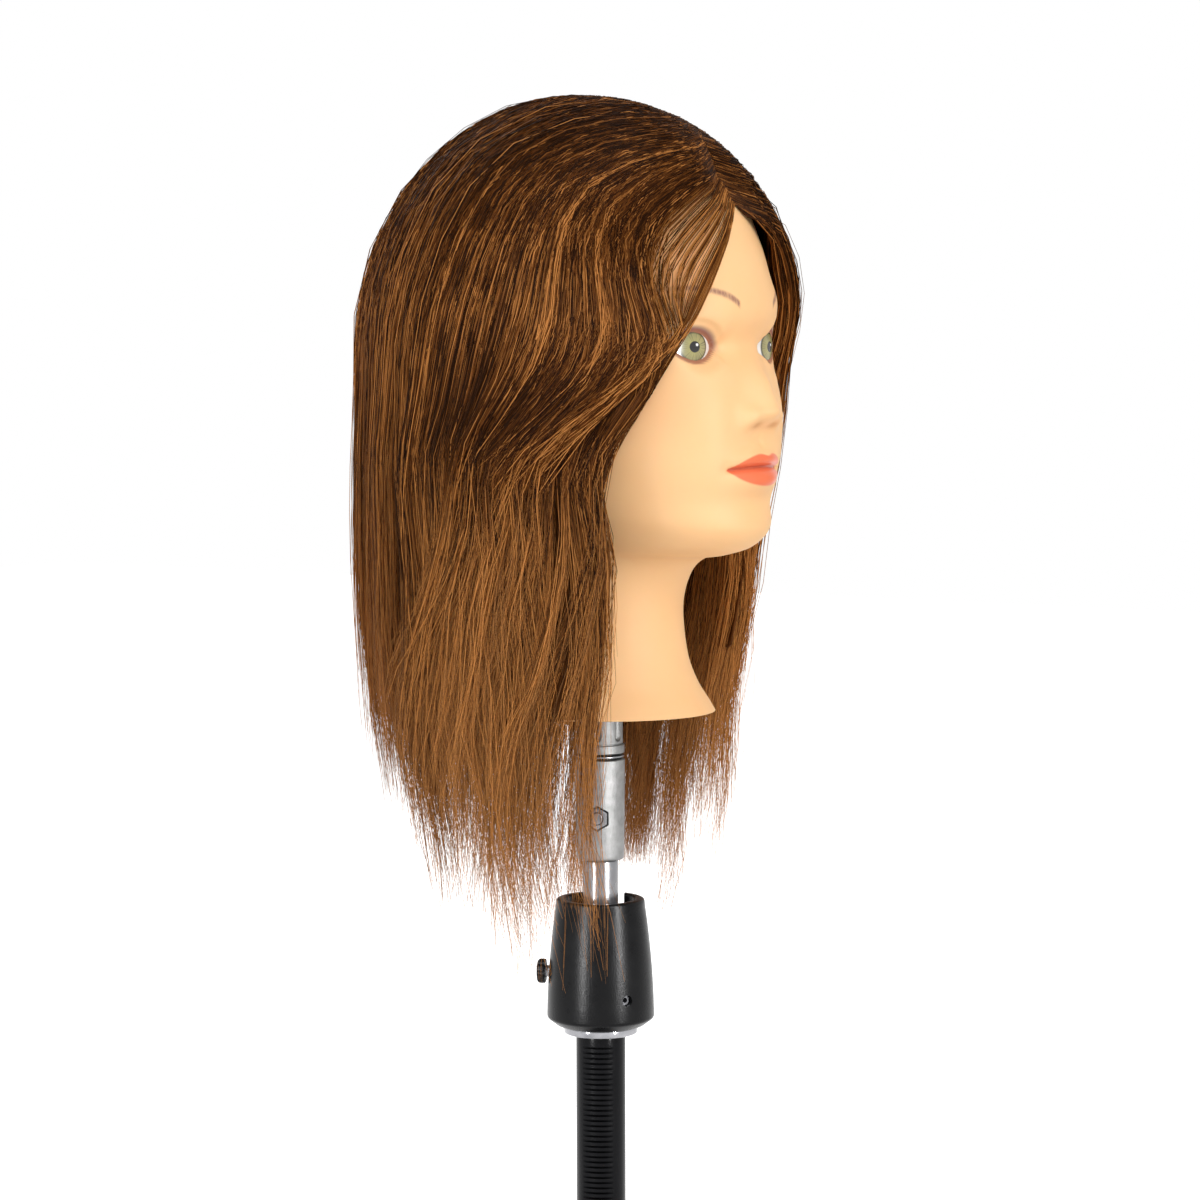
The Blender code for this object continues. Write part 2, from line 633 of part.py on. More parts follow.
def make_spigot():
    """Ball and stem, the cast spigot clamped on its tenon, and the cross bolt through both."""
    neck = math.degrees(math.acos(STEM_RADIUS / BALL_RADIUS))
    stem = turned(
        "ball_stem",
        [
            (0, STEM_SHOULDER + TENON_LENGTH),
            (TENON_RADIUS, STEM_SHOULDER + TENON_LENGTH),
            (TENON_RADIUS, STEM_SHOULDER),
            (STEM_RADIUS, STEM_SHOULDER),
        ]
        + arc(BALL_RADIUS, 0, neck, -90, 12),
        tilt_axis,
        STEEL,
    )
    foot, top = SPIGOT_FOOT, SPIGOT_TOP
    tenon_bore = TENON_RADIUS + FIT_GAP
    bore_top = STEM_SHOULDER + TENON_LENGTH + FIT_GAP
    corner = SPIGOT_ROUND
    spigot = turned(
        "spigot_body",
        [
            (0, SCREW_FOOT - FIT_GAP),
            (SWIVEL_SCREW_RADIUS + FIT_GAP, SCREW_FOOT - FIT_GAP),
            (SWIVEL_SCREW_RADIUS + FIT_GAP, top),
            (SPIGOT_RADIUS, top),
            (SPIGOT_FOOT_RADIUS, foot + corner),
            (SPIGOT_FOOT_RADIUS - corner * 0.3, foot + corner * 0.3),
            (SPIGOT_FOOT_RADIUS - corner, foot),
            (tenon_bore, foot),
            (tenon_bore, bore_top),
            (0, bore_top),
        ],
        tilt_axis,
        ALUMINIUM,
    )
    bolt_height = foot + BOLT_ABOVE_FOOT
    forward = {"location": (0, 0, bolt_height), "rotation": (math.pi / 2, 0, 0)}
    reach = SPIGOT_RADIUS * 2
    hole = turned(
        "bolt_hole", rod(BOLT_RADIUS + FIT_GAP, -reach, reach), tilt_axis, steps=SMALL_STEPS, **forward
    )
    nut_pocket = place("nut_pocket", prism(NUT_POCKET_FLATS, POCKET_FLOOR, reach), tilt_axis, **forward)
    head_pocket = turned(
        "bolt_head_pocket",
        rod(BOLT_HEAD_RADIUS + FIT_GAP * 2, -reach, -POCKET_FLOOR),
        tilt_axis,
        steps=SMALL_STEPS,
        **forward,
    )
    change(stem, hole)
    for cutter in (hole, nut_pocket, head_pocket):
        change(spigot, cutter)
    nut_foot = POCKET_FLOOR + FIT_GAP
    nut_end = nut_foot + NUT_THICKNESS
    nut = place("cross_nut", prism(NUT_FLATS, nut_foot, nut_end), tilt_axis, STEEL, **forward)
    change(nut, hole)
    head_foot = -POCKET_FLOOR - FIT_GAP
    turned(
        "cross_bolt",
        [
            (0, nut_end + BOLT_RADIUS * 0.15),
            (BOLT_RADIUS * 0.8, nut_end + BOLT_RADIUS * 0.15),
            (BOLT_RADIUS, nut_end - BOLT_RADIUS * 0.1),
            (BOLT_RADIUS, head_foot),
            (BOLT_HEAD_RADIUS, head_foot),
            (BOLT_HEAD_RADIUS, head_foot - BOLT_HEAD_LENGTH),
            (0, head_foot - BOLT_HEAD_LENGTH),
        ],
        tilt_axis,
        STEEL,
        steps=SMALL_STEPS,
        **forward,
    )


def make_swivel():
    """Washers, the screw that the plug turns on, and the fluted plug."""
    hole = SWIVEL_SCREW_RADIUS + FIT_GAP
    for name, low, radius, thickness, material, axis in (
        ("friction_washer_lower", LOWER_WASHER, FRICTION_WASHER_RADIUS, FRICTION_WASHER_THICKNESS,
         BLACK_PLASTIC, tilt_axis),
        ("steel_washer", STEEL_WASHER, STEEL_WASHER_RADIUS, STEEL_WASHER_THICKNESS, STEEL, tilt_axis),
        ("friction_washer_upper", UPPER_WASHER - PLUG_FOOT, FRICTION_WASHER_RADIUS,
         FRICTION_WASHER_THICKNESS, BLACK_PLASTIC, swivel_axis),
    ):
        turned(name, tube(radius, hole, low, low + thickness), axis, material)
    screw_top = SCREW_HEAD + SWIVEL_HEAD_LENGTH
    screw = turned(
        "swivel_screw",
        [
            (0, screw_top),
            (SWIVEL_HEAD_RADIUS, screw_top),
            (SWIVEL_HEAD_RADIUS, SCREW_HEAD),
            (SWIVEL_SCREW_RADIUS, SCREW_HEAD),
            (SWIVEL_SCREW_RADIUS, SCREW_FOOT),
            (0, SCREW_FOOT),
        ],
        tilt_axis,
        STEEL,
        steps=SMALL_STEPS,
    )
    key_floor = screw_top - SWIVEL_HEAD_LENGTH / 2
    key = prism(SWIVEL_SOCKET_FLATS, key_floor, screw_top + SWIVEL_HEAD_LENGTH)
    change(screw, place("swivel_key", key, tilt_axis))
    counterbore = PLUG_LENGTH - PLUG_COUNTERBORE_DEPTH
    head_hole = SWIVEL_HEAD_RADIUS + FIT_GAP
    groove_top = COLLAR_HEIGHT + COLLAR_GROOVE
    plug = turned(
        "fluted_plug",
        [
            (head_hole, PLUG_LENGTH),
            (PLUG_TOP_RADIUS - PLUG_CHAMFER, PLUG_LENGTH),
            (PLUG_TOP_RADIUS, PLUG_LENGTH - PLUG_CHAMFER),
            (PLUG_FOOT_RADIUS, groove_top),
            (PLUG_FOOT_RADIUS - COLLAR_GROOVE_DEPTH, groove_top),
            (PLUG_FOOT_RADIUS - COLLAR_GROOVE_DEPTH, COLLAR_HEIGHT),
            (COLLAR_RADIUS, COLLAR_HEIGHT),
            (COLLAR_RADIUS, 0),
            (hole, 0),
            (hole, counterbore),
            (head_hole, counterbore),
        ],
        swivel_axis,
        ALUMINIUM,
    )
    flutes = bmesh.new()
    for i in range(FLUTE_COUNT):
        turn = Matrix.Rotation(2 * math.pi * i / FLUTE_COUNT, 4, "Z")
        reach = PLUG_FOOT_RADIUS - FLUTE_DEPTH + FLUTE_RADIUS
        low_end = FLUTE_START + FLUTE_RADIUS
        spot = turn @ Matrix.Translation((0, -reach, 0))
        ball = bmesh.ops.create_uvsphere(
            flutes, u_segments=10, v_segments=6, radius=FLUTE_RADIUS, matrix=spot
        )["verts"]
        upper = [v for v in ball if v.co.z > FLUTE_RADIUS * 0.1]
        bmesh.ops.translate(flutes, verts=upper, vec=(0, 0, PLUG_LENGTH))
        bmesh.ops.translate(flutes, verts=ball, vec=(0, 0, low_end))
    change(plug, place("plug_flutes", flutes, swivel_axis))


def socket_radius(height):
    """Bore of the neck socket at a height above the neck's base: the plug's taper and its clearance."""
    taper_foot = COLLAR_HEIGHT + COLLAR_GROOVE
    share = (height + PLUG_SHOWN - taper_foot) / (PLUG_LENGTH - taper_foot)
    return PLUG_FOOT_RADIUS + (PLUG_TOP_RADIUS - PLUG_FOOT_RADIUS) * share + PLUG_CLEARANCE


def socket_outer():
    return PLUG_FOOT_RADIUS + PLUG_CLEARANCE + SOCKET_WALL


def make_socket():
    base = HEAD_SECTIONS[-1]
    room = min(-base[2], base[0], base[4]) - SKIN_WALL - FLANGE_CLEARANCE
    top = SOCKET_DEPTH + SOCKET_TOP
    turned(
        "neck_socket",
        [
            (0, top),
            (socket_outer() - SOCKET_WALL / 3, top),
            (socket_outer(), top - SOCKET_WALL / 3),
            (socket_outer(), SOCKET_FLANGE),
            (room - CORE_GAP * 4, SOCKET_FLANGE),
            (room, 0),
            (socket_radius(0), 0),
            (socket_radius(SOCKET_DEPTH), SOCKET_DEPTH),
            (0, SOCKET_DEPTH),
        ],
        head_axis,
        SOCKET_PLASTIC,
    )


def bump(across, height, centre, spread_across, spread_height):
    return math.exp(-((across / spread_across) ** 2) - ((height - centre) / spread_height) ** 2)


def face_relief(x, height):
    """How far the features stand forward of the head's plain sections."""
    tip = NOSE_TIP_HEIGHT
    bridge = min(max((EYE_HEIGHT - height) / (EYE_HEIGHT - tip), 0.0), 1.0)
    under = min(max((tip - height) / NOSE_UNDERSIDE, 0.0), 1.0)
    nose = NOSE_PROTRUSION * bridge**NOSE_CURVE * (1 - under * under * (3 - 2 * under))
    relief = nose * math.exp(-((x / (NOSE_BRIDGE + NOSE_SPREAD * bridge)) ** 2))
    for out, from_midline, centre, across, upright in FACE_BUMPS:
        relief += out * bump(abs(x) - from_midline, height, centre, across, upright)
    return relief


def head_point(station, turn, inset=0.0, face_inset=0.0):
    """Point of the head's surface; station counts sections, turn is 0 at the front.

    An inset form has its sections drawn in, further behind the face, and leaves the features out.
    """
    front, front_z, back, back_z, half_width = interpolate(HEAD_SECTIONS, station)
    middle = front + (back - front) * WIDEST_AT
    middle_z = front_z + (back_z - front_z) * WIDEST_AT
    end, end_z, drawn_in = (back, back_z, inset)
    if math.cos(turn) > 0:
        behind_face = face_inset * min(max((NECK_SECTION - station) / 3, 0.0), 1.0)
        end, end_z, drawn_in = (front, front_z, inset + behind_face)
    reach = abs(math.cos(turn))
    reach *= max(0.0, 1 - drawn_in / max(abs(end - middle), drawn_in, 1e-9))
    x = max(0.0, half_width - inset) * math.sin(turn)
    forward = middle + (end - middle) * reach
    height = middle_z + (end_z - middle_z) * reach
    if inset:
        return Vector((x, -forward, height - inset * max(0.0, 1 - station / CROWN_SECTIONS)))
    facing = min(max((forward - FACE_BEHIND) / FACE_FADE, 0.0), 1.0)
    return Vector((x, -forward - face_relief(x, height) * facing, height))


def head_form(around, stations, inset=0.0, face_inset=0.0, base=0.0):
    """Closed form of the head; more stations fall on the face than on the skull and neck."""
    shape = bmesh.new()
    bmesh.ops.create_uvsphere(shape, u_segments=around, v_segments=stations, radius=1)
    last = len(HEAD_SECTIONS) - 1
    first = INSET_FIRST_SECTION if inset else 0.0
    spread = ((0.0, first), (0.20, 5.2), (0.76, 14.5), (1 - 1.0 / stations, last))
    for vert in shape.verts:
        share = math.acos(min(max(vert.co.z, -1), 1)) / math.pi
        if share > 1 - 0.5 / stations:
            vert.co = (0, 0, base)
            continue
        station = last
        for (low, upper), (high, lower) in zip(spread, spread[1:]):
            if low <= share <= high + 1e-6:
                station = upper + (lower - upper) * (share - low) / (high - low)
                break
        azimuth = math.atan2(vert.co.x, -vert.co.y)
        turn = azimuth - 0.5 * math.sin(azimuth)
        vert.co = head_point(station, turn, inset, face_inset)
        if station > last - 1e-6:
            vert.co.z = base
        if share < 0.5 / stations:
            vert.co = (
                head_point(station, 0, inset, face_inset) + head_point(station, math.pi, inset, face_inset)
            ) / 2
    bmesh.ops.recalc_face_normals(shape, faces=shape.faces)
    return shape


def almond(grow, back, front, side):
    """Eye-shaped bar along Y between two forward distances; its corners lie on the eye's level."""
    shape = bmesh.new()
    half = EYE_WIDTH / 2 + grow
    steps = 10
    sweep = [math.pi * i / steps for i in range(steps + 1)]
    upper = [(-half * math.cos(a), (EYE_UPPER + grow) * math.sin(a)) for a in sweep]
    lower = [(half * math.cos(a), -(EYE_LOWER + grow) * math.sin(a)) for a in sweep[1:-1]]
    ring = [
        shape.verts.new((side * EYE_FROM_MIDLINE + x, -back, EYE_HEIGHT + z)) for x, z in upper + lower
    ]
    face = shape.faces.new(ring)
    grown = bmesh.ops.extrude_face_region(shape, geom=[face])["geom"]
    moved = [item for item in grown if isinstance(item, bmesh.types.BMVert)]
    bmesh.ops.translate(shape, verts=moved, vec=(0, back - front, 0))
    bmesh.ops.recalc_face_normals(shape, faces=shape.faces)
    return shape


def make_head():
    skin = place("head_skin", head_form(HEAD_AROUND, HEAD_STATIONS), head_axis, SKIN)
    cavity = head_form(CORE_AROUND, CORE_STATIONS, SKIN_WALL, FACE_WALL, -SKIN_WALL)
    change(skin, place("head_cavity", cavity, head_axis))
    core_form = head_form(CORE_AROUND, CORE_STATIONS, SKIN_WALL + CORE_GAP, FACE_WALL, -SKIN_WALL)
    cut = bmesh.ops.bisect_plane(
        core_form,
        geom=core_form.verts[:] + core_form.edges[:] + core_form.faces[:],
        plane_co=(0, 0, SOCKET_FLANGE + CORE_GAP),
        plane_no=(0, 0, 1),
        clear_inner=True,
    )["geom_cut"]
    bmesh.ops.edgeloop_fill(core_form, edges=[e for e in cut if isinstance(e, bmesh.types.BMEdge)])
    bmesh.ops.recalc_face_normals(core_form, faces=core_form.faces)
    core = place("foam_core", core_form, head_axis, FOAM)
    sleeve = turned(
        "sleeve_hole",
        rod(socket_outer() + CORE_GAP, -SOCKET_FLANGE, SOCKET_DEPTH + SOCKET_TOP + CORE_GAP),
        head_axis,
    )
    change(core, sleeve)
    for name, side in (("eye_right", -1), ("eye_left", 1)):
        back = EYE_FRONT - EYE_THICKNESS
        ahead = EYE_FRONT + EYE_CURVE_RADIUS * 2
        pocket = place(name + "_pocket", almond(FIT_GAP * 2, back - FIT_GAP, ahead, side), head_axis)
        change(skin, pocket)
        eye = place(name, almond(0, back, ahead, side), head_axis, EYE)
        globe = bmesh.new()
        centre = Vector((side * EYE_FROM_MIDLINE, EYE_CURVE_RADIUS - EYE_FRONT, EYE_HEIGHT))
        bmesh.ops.create_uvsphere(
            globe, u_segments=28, v_segments=16, radius=EYE_CURVE_RADIUS, matrix=Matrix.Translation(centre)
        )
        change(eye, place(name + "_globe", globe, head_axis), "INTERSECT")


def on_dome(direction):
    """Point of the hair's outer dome in a direction of the unit sphere (left, forward, up)."""
    return Vector(
        (
            HAIR_HALF_WIDTH * direction.x,
            -HAIR_FORWARD - HAIR_HALF_LENGTH * direction.y,
            HAIR_HEIGHT + HAIR_HALF_HEIGHT * direction.z,
        )
    )


def hair_point(share, length, side):
    """Outer surface: share runs from the face round to the back, length from the parting to the tips."""
    column = 1 if side < 0 else 2
    edge_at_dome = HAIR_EDGE[0][column]
    level_turn = edge_at_dome + (math.pi - edge_at_dome) * share
    hug = 1 - HAIR_HUG * max(0.0, 1 - share / HAIR_HUG_SHARE) ** 2
    if length <= HAIR_SHARE_ON_DOME:
        sweep = length / HAIR_SHARE_ON_DOME
        rise = PARTING_FRONT + (PARTING_BACK - PARTING_FRONT) * min(1.0, share * 1.25)
        root = Vector((0, math.cos(rise), math.sin(rise)))
        level = Vector((side * math.sin(level_turn), math.cos(level_turn), 0))
        angle = root.angle(level)
        start = PARTING_HALF_WIDTH / HAIR_HALF_WIDTH / angle
        sweep = start + (1 - start) * sweep
        direction = root * math.sin((1 - sweep) * angle) + level * math.sin(sweep * angle)
        direction /= math.sin(angle)
        return on_dome(direction * (1 + (hug - 1) * sweep * sweep))
    fall = (length - HAIR_SHARE_ON_DOME) / (1 - HAIR_SHARE_ON_DOME)
    tip = along(HAIR_TIPS, level_turn, column)
    tip += HAIR_LOCK_STEP * math.cos(math.pi * HAIR_AROUND * 2 * share)
    height = HAIR_HEIGHT + (tip - HAIR_HEIGHT) * fall
    shift = (along(HAIR_EDGE, height, column) - edge_at_dome) * (1 - share) ** 2
    turn = level_turn + shift
    narrow = hug * (1 - HAIR_NARROWING * fall**3)
    point = on_dome(Vector((side * math.sin(turn) * narrow, math.cos(turn) * narrow, 0)))
    point.z = height
    return point


def hair_wall(share, length, side, skin):
    """Outer and inner points of the hair, kept clear of the skin below."""
    outer = hair_point(share, length, side)
    centre = Vector((0, -HAIR_FORWARD, min(outer.z, HAIR_HEIGHT)))
    inward = (centre - outer).normalized()
    far = outer - inward * HAIR_WALL * 3
    hit = skin.ray_cast(far, inward)[0]
    fall = max(0.0, length - HAIR_SHARE_ON_DOME) / (1 - HAIR_SHARE_ON_DOME)
    wall = HAIR_WALL + (HAIR_TIP_WALL - HAIR_WALL) * fall
    wall *= 1 - 0.7 * max(0.0, 1 - share / 0.15) ** 2
    if length <= HAIR_SHARE_ON_DOME:
        wall = HAIR_WALL * 2
    if hit is None:
        return outer, outer + inward * wall
    room = (hit - outer).dot(inward) - HAIR_CLEARANCE - HAIR_EDGE_LIFT * max(0.0, 1 - share / 0.2)
    if room < HAIR_LEAST_WALL:
        outer = outer + inward * (room - HAIR_LEAST_WALL)
        room = HAIR_LEAST_WALL
    return outer, outer + inward * min(wall, room)


def make_hair():
    form = head_form(HEAD_AROUND, HEAD_STATIONS)
    skin = BVHTree.FromBMesh(form)
    form.free()
    trim = HAIR_SECTION_GAP / 2 / HAIR_HALF_LENGTH / math.pi * 1.2
    for name, side, low, high in (
        ("hair_front_right", -1, 0.0, 0.5),
        ("hair_back_right", -1, 0.5, 1.0),
        ("hair_back_left", 1, 0.5, 1.0),
        ("hair_front_left", 1, 0.0, 0.5),
    ):
        shape = bmesh.new()
        bmesh.ops.create_grid(shape, x_segments=HAIR_AROUND, y_segments=HAIR_ALONG, size=0.5)
        grown = bmesh.ops.extrude_face_region(shape, geom=shape.faces[:])["geom"]
        outside = {item for item in grown if isinstance(item, bmesh.types.BMVert)}
        for vert in shape.verts:
            share = low + trim + (high - low - 2 * trim) * (vert.co.x + 0.5)
            outer, inner = hair_wall(share, 0.5 - vert.co.y, side, skin)
            vert.co = outer if vert in outside else inner
        bmesh.ops.recalc_face_normals(shape, faces=shape.faces)
        if shape.calc_volume(signed=True) < 0:
            bmesh.ops.reverse_faces(shape, faces=shape.faces)
        place(name, shape, head_axis, HAIR)


make_column()
make_housing()
make_lock()
make_spigot()
make_swivel()
make_socket()
make_head()
make_hair()
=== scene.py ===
import math
import bpy
import bmesh
import numpy as np
from mathutils import Matrix, Vector
from mathutils.bvhtree import BVHTree


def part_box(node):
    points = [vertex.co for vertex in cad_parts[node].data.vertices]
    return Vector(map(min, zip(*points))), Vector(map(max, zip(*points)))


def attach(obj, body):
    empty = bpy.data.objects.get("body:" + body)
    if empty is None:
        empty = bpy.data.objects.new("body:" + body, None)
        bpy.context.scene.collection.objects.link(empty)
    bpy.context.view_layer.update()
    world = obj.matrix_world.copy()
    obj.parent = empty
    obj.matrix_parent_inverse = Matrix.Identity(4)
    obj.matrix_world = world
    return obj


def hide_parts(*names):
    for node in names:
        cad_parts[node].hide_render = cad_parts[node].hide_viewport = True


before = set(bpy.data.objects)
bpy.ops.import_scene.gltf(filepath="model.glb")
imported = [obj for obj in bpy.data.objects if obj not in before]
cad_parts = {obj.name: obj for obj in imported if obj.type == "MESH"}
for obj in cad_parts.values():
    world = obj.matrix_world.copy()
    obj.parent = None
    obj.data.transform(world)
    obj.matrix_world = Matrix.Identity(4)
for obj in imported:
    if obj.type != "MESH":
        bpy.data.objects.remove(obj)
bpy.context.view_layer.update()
scene = bpy.context.scene
scene.view_settings.view_transform = "Standard"
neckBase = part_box("head_skin")[0][2]  # the head's own frame starts at the neck's base
print("frame loaded, neck base at", round(neckBase, 4))

# camera, floor and lights
view = dict(azimuth=-57.0, distance=1.62, aimHeight=0.340, eyeHeight=0.465, fov=21.0, roll=-0.15, shiftX=0.0003)


def makeCamera():
    lens = bpy.data.cameras.new("photoCamera")
    lens.sensor_fit = "HORIZONTAL"
    lens.angle = math.radians(view["fov"])
    lens.shift_x = view["shiftX"]
    lens.clip_start = 0.05
    cam = bpy.data.objects.new("photoCamera", lens)
    scene.collection.objects.link(cam)
    turn = math.radians(view["azimuth"])
    reach = view["distance"]
    cam.location = (math.sin(turn) * reach, -math.cos(turn) * reach, view["eyeHeight"])
    aim = Vector((0, 0, view["aimHeight"])) - cam.location
    cam.rotation_euler = (aim.to_track_quat("-Z", "Y").to_matrix() @ Matrix.Rotation(math.radians(view["roll"]), 3, "Z")).to_euler()
    scene.camera = cam
    return cam


def addNode(tree, kind, **values):
    node = tree.nodes.new(kind)
    for key, value in values.items():
        if key in node.inputs:
            node.inputs[key].default_value = value
        else:
            setattr(node, key, value)
    return node


stage = dict(floorSize=8.0, floorColour=(0.86, 0.86, 0.86, 1), keyPower=19, fillPower=12, rimPower=10, stripPower=48.0, worldStrength=0.56, floorGlow=0.80)


def seenRays(tree):  # the camera's rays, and those that metal and glass send on
    rays = tree.nodes.new("ShaderNodeLightPath")
    seen = rays.outputs["Is Camera Ray"]
    for kind in ("Is Glossy Ray", "Is Transmission Ray"):
        either = addNode(tree, "ShaderNodeMath", operation="MAXIMUM")
        tree.links.new(seen, either.inputs[0])
        tree.links.new(rays.outputs[kind], either.inputs[1])
        seen = either.outputs[0]
    return seen


def makeStage():
    shape = bmesh.new()
    bmesh.ops.create_grid(shape, x_segments=1, y_segments=1, size=stage["floorSize"] / 2)
    mesh = bpy.data.meshes.new("floor")
    shape.to_mesh(mesh)
    shape.free()
    floor = bpy.data.objects.new("floor", mesh)
    scene.collection.objects.link(floor)
    paint = bpy.data.materials.new("floorPaint")
    paint.use_nodes = True
    tree = paint.node_tree
    tree.nodes.clear()
    out = tree.nodes.new("ShaderNodeOutputMaterial")
    matte = addNode(tree, "ShaderNodeBsdfDiffuse", Color=stage["floorColour"])
    glow = addNode(tree, "ShaderNodeEmission", Color=(1, 1, 1, 1), Strength=stage["floorGlow"])
    both = tree.nodes.new("ShaderNodeAddShader")
    mix = tree.nodes.new("ShaderNodeMixShader")
    tree.links.new(matte.outputs[0], both.inputs[0])
    tree.links.new(glow.outputs[0], both.inputs[1])
    tree.links.new(seenRays(tree), mix.inputs[0])
    tree.links.new(matte.outputs[0], mix.inputs[1])
    tree.links.new(both.outputs[0], mix.inputs[2])
    tree.links.new(mix.outputs[0], out.inputs[0])
    mesh.materials.append(paint)
    world = bpy.data.worlds.new("studio")
    world.use_nodes = True
    scene.world = world
    tree = world.node_tree
    back = tree.nodes["Background"]
    back.inputs["Color"].default_value = (1, 1, 1, 1)
    level = addNode(tree, "ShaderNodeMix", data_type="FLOAT")
    level.inputs[2].default_value = stage["worldStrength"]
    level.inputs[3].default_value = 1.0
    tree.links.new(seenRays(tree), level.inputs[0])
    tree.links.new(level.outputs[0], back.inputs["Strength"])


def makeLamp(name, power, width, tall, azimuth, height, distance, aimHeight=0.42):
    lamp = bpy.data.lights.new(name, "AREA")
    lamp.energy = power
    lamp.shape = "RECTANGLE"
    lamp.size = width
    lamp.size_y = tall
    thing = bpy.data.objects.new(name, lamp)
    scene.collection.objects.link(thing)
    turn = math.radians(azimuth)
    thing.location = (math.sin(turn) * distance, -math.cos(turn) * distance, height)
    thing.rotation_euler = (Vector((0, 0, aimHeight)) - thing.location).to_track_quat("-Z", "Y").to_euler()
    return thing


makeCamera()
makeStage()
makeLamp("keyLamp", stage["keyPower"], 1.2, 1.2, -32, 1.25, 1.6)
makeLamp("fillLamp", stage["fillPower"], 1.0, 1.0, -115, 0.9, 1.6)
makeLamp("rimLamp", stage["rimPower"], 0.8, 0.8, 150, 1.3, 1.5)
for name, azimuth in (("stripRight", -12), ("stripLeft", -96)):  # seen only as reflections
    makeLamp(name, stage["stripPower"], 0.10, 1.2, azimuth, 0.35, 1.2, 0.2).visible_diffuse = False
print("camera and stage made")

# finishes
def newFinish(name, colour, roughness, metallic=0.0):
    paint = bpy.data.materials.new(name)
    paint.use_nodes = True
    tree = paint.node_tree
    shader = tree.nodes["Principled BSDF"]
    shader.inputs["Base Color"].default_value = (*colour, 1)
    shader.inputs["Roughness"].default_value = roughness
    shader.inputs["Metallic"].default_value = metallic
    return paint, tree, shader


def makeGrainGroup():
    group = bpy.data.node_groups.new("surfaceGrain", "ShaderNodeTree")
    group.interface.new_socket("Vector", in_out="INPUT", socket_type="NodeSocketVector")
    group.interface.new_socket("Scale", in_out="INPUT", socket_type="NodeSocketFloat")
    group.interface.new_socket("Cloud", in_out="OUTPUT", socket_type="NodeSocketFloat")
    group.interface.new_socket("Fine", in_out="OUTPUT", socket_type="NodeSocketFloat")
    entry = group.nodes.new("NodeGroupInput")
    leave = group.nodes.new("NodeGroupOutput")
    cloud = addNode(group, "ShaderNodeTexNoise", Detail=4.0)
    fine = addNode(group, "ShaderNodeTexNoise", Detail=2.0)
    finer = addNode(group, "ShaderNodeMath", operation="MULTIPLY")
    finer.inputs[1].default_value = 9.0
    group.links.new(entry.outputs["Vector"], cloud.inputs["Vector"])
    group.links.new(entry.outputs["Vector"], fine.inputs["Vector"])
    group.links.new(entry.outputs["Scale"], cloud.inputs["Scale"])
    group.links.new(entry.outputs["Scale"], finer.inputs[0])
    group.links.new(finer.outputs[0], fine.inputs["Scale"])
    group.links.new(cloud.outputs["Fac"], leave.inputs["Cloud"])
    group.links.new(fine.outputs["Fac"], leave.inputs["Fine"])
    return group


grainGroup = makeGrainGroup()


def grained(name, colour, darker, roughness, spread, scale, bump, metallic, shine):
    paint, tree, shader = newFinish(name, colour, roughness, metallic)
    shader.inputs["Specular IOR Level"].default_value = shine
    place = tree.nodes.new("ShaderNodeTexCoord")
    grain = addNode(tree, "ShaderNodeGroup", node_tree=grainGroup)
    grain.inputs["Scale"].default_value = scale
    tree.links.new(place.outputs["Object"], grain.inputs["Vector"])
    tone = addNode(tree, "ShaderNodeMix", data_type="RGBA")
    for socket, value in ((tone.inputs[6], darker), (tone.inputs[7], colour)):
        socket.default_value = (*value, 1)
    tree.links.new(grain.outputs["Cloud"], tone.inputs[0])
    tree.links.new(tone.outputs[2], shader.inputs["Base Color"])
    gloss = addNode(tree, "ShaderNodeMapRange")
    gloss.inputs["To Min"].default_value = roughness - spread
    gloss.inputs["To Max"].default_value = roughness + spread
    tree.links.new(grain.outputs["Cloud"], gloss.inputs["Value"])
    tree.links.new(gloss.outputs["Result"], shader.inputs["Roughness"])
    relief = addNode(tree, "ShaderNodeBump", Strength=bump, Distance=0.0004)
    tree.links.new(grain.outputs["Fine"], relief.inputs["Height"])
    tree.links.new(relief.outputs["Normal"], shader.inputs["Normal"])
    return paint


# the head's form: sections from crown to neck base (front, its height, back, its height, half width)
headForm = dict(
    sections=np.array((
        (-0.008, 0.2950, -0.012, 0.2950, 0.0),
        (0.030, 0.2905, -0.048, 0.2895, 0.036),
        (0.058, 0.2730, -0.076, 0.2720, 0.056),
        (0.074, 0.2550, -0.092, 0.2530, 0.0665),
        (0.084, 0.2340, -0.101, 0.2300, 0.073),
        (0.090, 0.2150, -0.105, 0.2070, 0.0755),
        (0.094, 0.1970, -0.104, 0.1870, 0.075),
        (0.0930, 0.1810, -0.100, 0.1700, 0.0742),
        (0.0925, 0.1630, -0.093, 0.1540, 0.070),
        (0.0925, 0.1390, -0.082, 0.1350, 0.065),
        (0.094, 0.1210, -0.074, 0.1220, 0.060),
        (0.0925, 0.1060, -0.069, 0.1130, 0.056),
        (0.0935, 0.0930, -0.065, 0.1060, 0.0515),
        (0.085, 0.0840, -0.062, 0.0990, 0.047),
        (0.071, 0.0795, -0.059, 0.0920, 0.0445),
        (0.057, 0.0770, -0.056, 0.0840, 0.043),
        (0.048, 0.0690, -0.053, 0.0730, 0.0425),
        (0.043, 0.0530, -0.050, 0.0530, 0.0425),
        (0.045, 0.0300, -0.0505, 0.0300, 0.044),
        (0.0500, 0.0155, -0.0532, 0.0155, 0.0482),
        (0.0562, 0.0050, -0.0572, 0.0050, 0.0545),
        (0.0590, 0.0, -0.0592, 0.0, 0.0575),
    )),
    widestAt=0.54, around=264, stations=340, rim=0.0045,
)
eyeForm = dict(height=0.1815, apart=0.0353, width=0.0270, globe=0.0300, upper=0.0067, lower=0.0063, slant=0.05, curve=0.0260, front=0.0784, lid=0.0006)
noseForm = dict(tip=0.1505, out=0.0106, under=0.0105)
